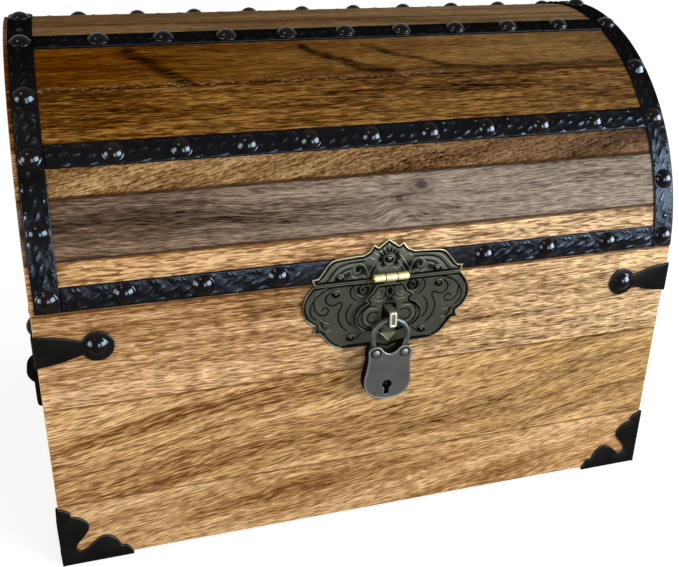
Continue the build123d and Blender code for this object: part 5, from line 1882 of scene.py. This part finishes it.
        # the flap's lower tip carries a painted highlight
        lift = self.lifted(self.flap_strokes, flap, 0.5, painted_highlight_below=-32.4)
        place = self.flat_place(self.axis_z, self.flap_back)
        slot = rounded_box((self.slot_half_width, (self.slot_top - self.slot_bottom) / 2), self.slot_power, 160)
        slot = slot + (0.0, (self.slot_top + self.slot_bottom) / 2)
        skin = Skin()
        pressed_plate(skin, flap, slot, Sheet(self.flap_thickness, self.edge), lift, place, (44, 560))
        back = self.frame.front_y - self.flap_back
        self.block(skin, self.centre_x, self.knuckle_length / 2, (back - self.flap_thickness + 0.1, back),
                   (self.axis_z - self.leaf_drop, self.axis_z))
        skin.piece("pressed_flap", self.patina, Body.FLAP, Slot.BRONZE, ("hasp_flap",))

    @staticmethod
    def block(skin: Skin, x: float, half: float, depths: Point, heights: Point) -> None:
        """Adds a plain block.

        Args:
            skin: Where it is added.
            x: Its middle along the chest.
            half: Half its length.
            depths: Places of its front and its back.
            heights: Heights of its foot and its top.
        """
        front, back = depths
        corners = np.array([(x - half, front), (x + half, front), (x + half, back), (x - half, back)])
        skin.add(np.array([np.column_stack([corners, np.full(4, z)]) for z in heights]))

    @property
    def axis_z(self) -> float:
        """Height of the barrel's axis."""
        return self.frame.lid_bottom + self.axis_rise

    def screw_faces(self) -> None:
        """Makes the caps that show the screws' crossed slots: three on the lid and four on the body.

        A cap is a disc whose face sinks by a ridge along each of two crossed lines.
        """

        def lift(x: Array, y: Array) -> tuple[Array, Array]:
            """The crossed slot is painted dark, as painted shade in its recess, and the rim is worn."""
            a, b = (x * 0.88 + y * 0.47, y * 0.88 - x * 0.47)
            slot = np.maximum(ridge(a, 0.8) * (np.abs(b) < 1.6), ridge(b, 0.8) * (np.abs(a) < 1.6))
            rim = ridge(self.screw_radius - 0.35 - np.hypot(x, y), 0.45)
            # painted shade: the wear is lowered along the crossed slot
            return -0.2 * slot, PLAIN + 0.22 * rim - 0.6 * slot

        flat = self.flat_place(self.frame.parting_z, self.thickness)
        seats = {
            Body.LID: (lambda x, y, h: self.crown_place(x, y, self.thickness + h), self.lid_screws),
            Body.CHEST: (flat, self.body_screws),
        }
        disc, sheet = self.screw_radius * circle(72), Sheet(self.screw_height, 0.45)
        for body, (seat, places) in seats.items():
            skin = Skin()
            for side in (-1, 1):
                for across, rise in places:
                    if across or side > 0:

                        def place(x: Array, y: Array, h: Array, at: Point = (side * across, rise)) -> Array:
                            """Seats the disc at its screw."""
                            return seat(x + at[0], y + at[1], h)

                        pressed_plate(skin, disc, np.zeros((1, 2)), sheet, lift, place, (16, 72))
            skin.piece(f"hasp_screw_faces_{body.name.lower()}", self.patina, body, Slot.SCREW)

    def barrel(self) -> None:
        """Makes the three knuckles: the outer two on the lid and the middle one on the flap."""
        pitch = self.knuckle_length + self.knuckle_gap
        radius, half = self.knuckle_radius, self.knuckle_length / 2
        profile = np.array([
            (0.4, -half), (radius - 0.35, -half), (radius - 0.1, -half + 0.12), (radius, -half + 0.4),
            (radius, half - 0.4), (radius - 0.1, half - 0.12), (radius - 0.35, half), (0.4, half),
        ])
        axis = np.array([1.0, 0, 0])
        base = np.array([self.centre_x, self.frame.front_y - self.axis_proud, self.axis_z])
        worn = np.array([0, 0.2, 0.6, 1, 1, 0.6, 0.2, 0])
        outer, middle = Skin(), Skin()
        for side in (-1, 1):
            turned(outer, profile, base + axis * side * pitch, axis, 26, worn)
            cap = np.array([(0.3, 0.0), (1.5, 0.0), (1.45, 0.35), (0.9, 0.6), (0.2, 0.7)])
            turned(outer, cap, base + axis * side * (pitch + half - 0.02), axis * side, 20)
        turned(middle, profile, base, axis, 26, worn)
        outer.piece("barrel_outer_knuckles", self.brass, Body.LID, Slot.BRASS, ("hasp_pin",))
        middle.piece("barrel_middle_knuckle", self.brass, Body.FLAP, Slot.BRASS)

    def webs(self) -> None:
        """Makes the two webs that carry the outer knuckles."""
        pitch = self.knuckle_length + self.knuckle_gap
        depths = (self.frame.front_y - self.axis_proud, self.frame.front_y - self.web_foot)
        heights = (self.axis_z - self.web_half_height, self.axis_z + self.web_half_height)
        skin = Skin()
        for side in (-1, 1):
            self.block(skin, self.centre_x + side * pitch, self.knuckle_length / 2 - 0.2, depths, heights)
        skin.piece("barrel_webs", self.patina, Body.LID, Slot.BRONZE)

    def staple_face(self) -> None:
        """Makes the raised border on the staple's front, a ring of two rounded rectangles."""
        half_width, half_height = self.staple_width / 2, self.staple_height / 2
        outer = rounded_box((half_width, half_height - 0.5), self.border_power, 120)
        inner = rounded_box((half_width - 1.05, half_height - 1.7), self.border_power, 120)
        place = self.flat_place(self.frame.parting_z - self.staple_drop, self.staple_reach - 0.05)
        skin = Skin()
        pressed_plate(skin, outer, inner, Sheet(0.42, 0.2), lambda x, y: (0 * x, 0 * x + 0.6), place, (5, 120))
        skin.piece("staple_border", self.pale_steel, Body.CHEST, Slot.PALE_STEEL)


@dataclass
class Padlock:
    """The small padlock: front plate, shackle, eye and rivets, in its own tilted plane."""

    frame: ChestFrame
    hasp: Hasp
    steel: Material
    proud: float = 7.5
    tilt: float = 3.5
    wire_radius: float = 1.5
    arc_radius: float = 10.0
    hang_gap: float = 0.3
    staple_thickness: float = 1.4
    rivet_side: float = 8.2
    rivet_drop: float = 8.7
    rivet_radius: float = 1.1
    # the rivets' domes are painted lighter: a painted highlight
    rivet_head: Head = Head(2.25, 0.8, 0.5)
    eye_radius: float = 3.1
    eye_thickness: float = 2.6
    toe_gap: float = 0.5
    left_leg_share: float = 0.72
    case_thickness: float = 6.2
    wall: float = 0.9
    ear_radius: float = 4.3
    saddle_drop: float = 9.0
    keyhole_radius: float = 2.7
    keyhole_drop: float = 28.2
    keyhole_slot_width: float = 2.6
    keyhole_slot_drop: float = 34.0
    side: tuple[Point, ...] = (
        (12.43, -9.45), (12.1, -13.02), (12.6, -19.0), (13.5, -26.04), (12.1, -31.43), (7.5, -35.6), (0.0, -37.2),
    )

    def place(self, level: float) -> Place:
        """Seats flat coordinates in the padlock's tilted plane.

        Args:
            level: How far in front of the padlock's middle its height starts.

        Returns:
            The place function.
        """
        turn = math.radians(self.tilt)
        staple_low = self.frame.parting_z - self.hasp.staple_drop - self.hasp.staple_height / 2
        top = staple_low + self.staple_thickness + self.wire_radius + self.hang_gap
        origin = np.array([self.hasp.centre_x, self.frame.front_y - self.proud, top - self.arc_radius])
        right = np.array([math.cos(turn), 0, -math.sin(turn)])
        up = np.array([math.sin(turn), 0, math.cos(turn)])

        def seat(x: Array, y: Array, h: Array) -> Array:
            """Right, up and forwards in the tilted plane."""
            x, y, h = (np.asarray(a, float)[..., None] for a in (x, y, h))
            return origin + x * right + y * up - (h + level) * np.array([0, 1.0, 0])

        return seat

    def case_line(self) -> Array:
        """The case's outline: half a saddle, an ear's arc and the long side, mirrored."""
        ear = np.radians(np.linspace(150, -10, 24))
        arc = np.stack([self.rivet_side + self.ear_radius * np.cos(ear),
                        -self.rivet_drop + self.ear_radius * np.sin(ear)], 1)
        across = np.linspace(0, arc[0, 0], 8, endpoint=False)
        rise = (arc[0, 1] + self.saddle_drop) / arc[0, 0] ** 2
        saddle = np.stack([across, -self.saddle_drop + rise * across**2], 1)
        right = np.vstack([saddle, arc, flowing(self.side, 8)[1:]])
        return np.vstack([right, (right[::-1] * (-1, 1))[1:-1]])

    def keyhole_line(self) -> Array:
        """The keyhole: a circle run into a slot."""
        half = self.keyhole_slot_width / 2
        meet = math.asin(half / self.keyhole_radius)
        turn = np.linspace(-math.pi / 2 + meet, 1.5 * math.pi - meet, 60)
        ring = self.keyhole_radius * np.stack([np.cos(turn), np.sin(turn)], 1) + (0.0, -self.keyhole_drop)
        foot = np.array([(-half, -self.keyhole_slot_drop), (half, -self.keyhole_slot_drop)])
        return np.vstack([ring, foot])

    def front_plate(self) -> None:
        """Makes the front plate, with a soft raised rim round its ears and its foot."""
        line = evenly(self.case_line(), 700)
        closed = looped(line)

        def lift(x: Array, y: Array) -> tuple[Array, Array]:
            """A low rim, and a groove round each rivet, which is painted darker as painted shade."""
            rim = ridge(distance_to(x, y, closed) - 0.55, 0.6)
            rivet = np.hypot(np.abs(x) - self.rivet_side, y + self.rivet_drop)
            groove = ridge(rivet - self.rivet_head.radius - 0.45, 0.6)
            # painted shade: the wear is lowered in the groove round each rivet, which darkens it
            return 0.14 * rim - 0.18 * groove, PLAIN + 0.45 * rim - 0.3 * groove

        skin = Skin()
        place = self.place(self.case_thickness / 2 - self.wall)
        pressed_plate(skin, line, self.keyhole_line(), Sheet(self.wall, 0.45), lift, place, (50, 480))
        skin.piece("padlock_face", self.steel, Body.CASE, Slot.PADLOCK, ("padlock_front_plate",))

    def rivets(self) -> None:
        """Makes the two rivets: a domed head, and the shank behind it."""
        skin, seat = Skin(), self.place(0.0)
        forwards = np.array([0.0, -1.0, 0.0])
        half, radius, length = self.case_thickness / 2, self.rivet_radius, self.case_thickness + 0.2
        shank = np.array([(0.2, 0), (radius - 0.1, 0), (radius, 0.1), (radius, length)])
        for side in (-1, 1):
            self.rivet_head.add(skin, seat(side * self.rivet_side, -self.rivet_drop, half), forwards)
            turned(skin, shank, seat(side * self.rivet_side, -self.rivet_drop, -half), forwards, 20)
        skin.piece("padlock_rivet_heads", self.steel, Body.CASE, Slot.PADLOCK, ("padlock_rivets",), crease=HEAD_CREASE)

    def shackle(self) -> None:
        """Makes the bent wire and the eye that turns on the left rivet."""
        reach = math.hypot(self.rivet_side, self.rivet_drop)
        leg = math.sqrt(reach**2 - self.arc_radius**2)
        below = math.atan2(self.rivet_drop, self.rivet_side) - math.acos(self.arc_radius / reach)
        start = self.arc_radius * np.array([math.cos(below), -math.sin(below)])
        rivet = np.array([self.rivet_side, -self.rivet_drop])
        stop = (leg - self.rivet_radius - self.toe_gap - self.wire_radius) / leg
        right = start + np.linspace(stop, 0, 8)[:, None] * (rivet - start)
        turn = np.linspace(-below, math.pi + below, 70)[1:-1]
        arc = self.arc_radius * np.stack([np.cos(turn), np.sin(turn)], 1)
        left = (start + np.linspace(0, self.left_leg_share, 8)[:, None] * (rivet - start)) * (-1, 1)
        flat = np.vstack([right, arc, left])
        seat = self.place(0.0)
        skin = Skin()
        rounded_rod(skin, seat(flat[:, 0], flat[:, 1], np.zeros(len(flat))), self.wire_radius, 22)
        half = self.eye_thickness / 2
        profile = np.array([
            (self.rivet_radius + 0.1, -half), (self.eye_radius - 0.4, -half), (self.eye_radius, -half + 0.4),
            (self.eye_radius, half - 0.4), (self.eye_radius - 0.4, half), (self.rivet_radius + 0.1, half),
        ])
        turned(skin, profile, seat(-self.rivet_side, -self.rivet_drop, 0.0), np.array([0.0, -1.0, 0.0]), 30)
        skin.piece("padlock_bent_shackle", self.steel, Body.SHACKLE, Slot.PADLOCK, ("padlock_shackle",))


@dataclass
class Hardware:
    """The frame's own small parts, which keep their shape, with their finishes by the start of a node's name."""

    finishes: dict[str, Material]

    def dress(self, nodes: dict[str, bpy.types.Object]) -> None:
        """Puts each finish on its nodes.

        Args:
            nodes: The frame's objects by name.
        """
        for start, finish in self.finishes.items():
            for name, node in nodes.items():
                if name.startswith(start):
                    cover(node, finish)


@dataclass(frozen=True)
class Lamp:
    """A lamp that faces the chest: degrees to the right of the front and above the horizon, and metres."""

    use: LampUse
    azimuth: float
    elevation: float
    distance: float
    size: Point
    level: float
    colour: Colour = (1.0, 0.98, 0.95)


@dataclass
class Studio:
    """The floor, the lamps and the camera."""

    frame: ChestFrame
    camera_x: float = -150.79
    camera_y: float = -402.56
    camera_z: float = 345.70
    lens: float = 47.12
    sensor: float = 36.0
    right: tuple[float, float, float] = (0.95599, -0.29291, 0.01693)
    up: tuple[float, float, float] = (0.1079, 0.4047, 0.9081)
    floor_radius: float = 9.0
    floor_corners: int = 96
    paper: Colour = (0.55, 0.55, 0.55)
    floor_glow: float = 0.70
    world_level: float = 0.52
    aim: tuple[float, float, float] = (0, 0, 0.14)
    lamps: tuple[Lamp, ...] = (
        Lamp(LampUse.WINDOW, 54.0, 10.0, 2.2, (1.7, 1.5), 120.0, (0.62, 0.80, 1.0)),
        Lamp(LampUse.WINDOW, 11.0, 8.0, 2.2, (0.7, 1.0), 72.0, (0.62, 0.80, 1.0)),
        Lamp(LampUse.WINDOW, -68.0, 8.0, 2.2, (1.1, 1.2), 60.0, (0.8, 0.9, 1.0)),
        Lamp(LampUse.WINDOW, -50.0, 60.0, 2.2, (0.4, 0.4), 60.0, (1.0, 0.85, 0.7)),
        Lamp(LampUse.SOFT, 42.0, 14.0, 2.6, (0.9, 0.8), 20.3),
        Lamp(LampUse.SOFT, -14.0, 30.0, 2.8, (1.4, 1.0), 2.7),
    )

    def camera(self) -> None:
        """Places the camera where the photograph was taken from."""
        lens = bpy.data.cameras.new("camera")
        lens.sensor_width, lens.lens = self.sensor, self.lens
        made = bpy.data.objects.new("camera", lens)
        right, up = Vector(self.right).normalized(), Vector(self.up)
        back = right.cross(up).normalized()
        up = back.cross(right)
        turn = Matrix((right, up, back)).transposed().to_4x4()
        where = Vector((self.camera_x, self.frame.front_y + self.camera_y, self.camera_z)) * METRES
        made.matrix_world = Matrix.Translation(where) @ turn
        bpy.context.scene.collection.objects.link(made)
        bpy.context.scene.camera = made

    def floor(self) -> None:
        """Makes the white floor: it looks white, and keeps the chest's shadow."""
        rim = np.column_stack([circle(self.floor_corners), np.zeros(self.floor_corners)]) * self.floor_radius
        mesh = bpy.data.meshes.new("floor")
        mesh.from_pydata(rim.tolist(), [], [list(range(len(rim)))])
        graph = ShaderGraph("floor_paper")
        paper = graph.node("ShaderNodeBsdfDiffuse", None, {"Color": (*self.paper, 1.0)}, "BSDF")
        level = graph.seen_directly() * self.floor_glow
        glow = graph.node("ShaderNodeEmission", None, {"Strength": level}, "Emission")
        both = graph.node("ShaderNodeAddShader", None, {0: paper, 1: glow}, "Shader")
        graph.node("ShaderNodeOutputMaterial", None, {"Surface": both})
        mesh.materials.append(graph.material)
        made = bpy.data.objects.new("floor", mesh)
        bpy.context.scene.collection.objects.link(made)
        made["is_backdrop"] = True

    def world(self) -> None:
        """Lights the room softly. Seen directly or in a polished surface it is white."""
        world = bpy.data.worlds.new("room")
        bpy.context.scene.world = world
        graph = ShaderGraph("room", world)
        level = graph.seen_directly() * (1.0 - self.world_level) + self.world_level
        glow = graph.node("ShaderNodeBackground", None, {"Color": (1, 1, 1, 1), "Strength": level}, "Background")
        graph.node("ShaderNodeOutputWorld", None, {"Surface": glow})

    def light(self) -> None:
        """Hangs the lamps: windows show in gloss alone, and soft daylight falls on matt surfaces alone.

        A lamp's power is its level times pi times its area.
        """
        for lamp in self.lamps:
            width, height = lamp.size
            light = bpy.data.lights.new(lamp.use.value, "AREA")
            light.shape, light.size, light.size_y, light.color = "RECTANGLE", width, height, lamp.colour
            light.energy = lamp.level * math.pi * width * height
            azimuth, elevation = math.radians(lamp.azimuth), math.radians(lamp.elevation)
            flat = math.cos(elevation)
            back = Vector((math.sin(azimuth) * flat, -math.cos(azimuth) * flat, math.sin(elevation)))
            made = bpy.data.objects.new(lamp.use.value, light)
            made.visible_diffuse, made.visible_glossy = lamp.use is LampUse.SOFT, lamp.use is LampUse.WINDOW
            turn = (-back).to_track_quat("-Z", "Y").to_matrix().to_4x4()
            made.matrix_world = Matrix.Translation(Vector(self.aim) + back * lamp.distance) @ turn
            bpy.context.scene.collection.objects.link(made)


def note_sizes(before: tuple[Vector, Vector], after: tuple[Vector, Vector]) -> None:
    """Puts the frame's box and the dressed object's box in a table, which is not kept.

    Args:
        before: Corners straight after loading.
        after: Corners at the end.
    """
    table = {"cad": [list(corner) for corner in before], "visual": [list(corner) for corner in after]}


def main() -> None:
    """Builds the chest's looks, one sub-assembly after another."""
    logging.basicConfig(level=logging.INFO, format="%(message)s")
    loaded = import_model()
    nodes, cad_box = loaded["nodes"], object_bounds()
    bpy.context.scene.view_settings.view_transform = "Standard"
    frame = ChestFrame.read()
    studio = Studio(frame)
    studio.camera()
    studio.floor()
    studio.world()
    studio.light()

    iron = IronFinish(
        base=paint(18, 18, 19), rubbed=paint(38, 41, 46), roughness=0.24, dent=0.35, metallic=0.40
    ).material("embossed_iron")
    plain_iron = IronFinish(
        base=paint(24, 23, 22), rubbed=paint(42, 41, 41), roughness=0.34, dent=0.20, metallic=0.15
    ).material("plain_iron")
    lacquer = NailFinish(base=paint(9, 8, 10), brown=paint(24, 14, 12)).material("nail_lacquer")
    patina = MetalFinish(
        sunk=paint(8, 8, 6), floor=paint(64, 64, 54), raised=paint(88, 85, 70), worn=paint(190, 174, 140),
        roughness=0.38, metallic=0.10,
    ).material("antique_bronze")
    brass = MetalFinish(
        sunk=paint(84, 72, 28), floor=paint(130, 112, 50), raised=paint(160, 142, 76), worn=paint(206, 190, 126),
        roughness=0.30, metallic=0.45,
    ).material("barrel_brass")
    pale_steel = MetalFinish(
        sunk=paint(96, 92, 78), floor=paint(150, 142, 120), raised=paint(180, 172, 150), worn=paint(204, 198, 180),
        roughness=0.36, metallic=0.25,
    ).material("pale_steel")
    gunmetal = MetalFinish(
        sunk=paint(24, 24, 23), floor=paint(74, 72, 68), raised=paint(92, 90, 86), worn=paint(134, 130, 122),
        roughness=0.42, metallic=0.16,
    ).material("padlock_gunmetal")
    screw_metal = MetalFinish(
        sunk=paint(84, 82, 68), floor=paint(96, 93, 78), raised=paint(120, 116, 98), worn=paint(180, 174, 160),
        roughness=0.35, metallic=0.5, shadowed=0.95,
    ).material("screw_metal")

    WoodenBody(frame).dress(nodes)
    DomedLid(frame).dress(nodes)
    straps = StrapWork(frame, iron, lacquer)
    straps.straps()
    straps.end_bands()
    straps.heads()
    corners = CornerWork(frame, plain_iron, lacquer)
    corners.irons()
    corners.braces()
    corners.heads()
    hasp = Hasp(frame, patina, brass, pale_steel)
    hasp.plates()
    hasp.barrel()
    hasp.webs()
    hasp.staple_face()
    hasp.screw_faces()
    padlock = Padlock(frame, hasp, gunmetal)
    padlock.front_plate()
    padlock.rivets()
    padlock.shackle()
    Hardware({
        "hasp_staple": pale_steel, "padlock_case": gunmetal, "padlock_latch": pale_steel,
        "hinge_": screw_metal, "handle_": plain_iron, "lid_screws": screw_metal, "body_screws": screw_metal,
    }).dress(nodes)
    note_sizes(cad_box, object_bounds())


if __name__ == "__main__":
    main()
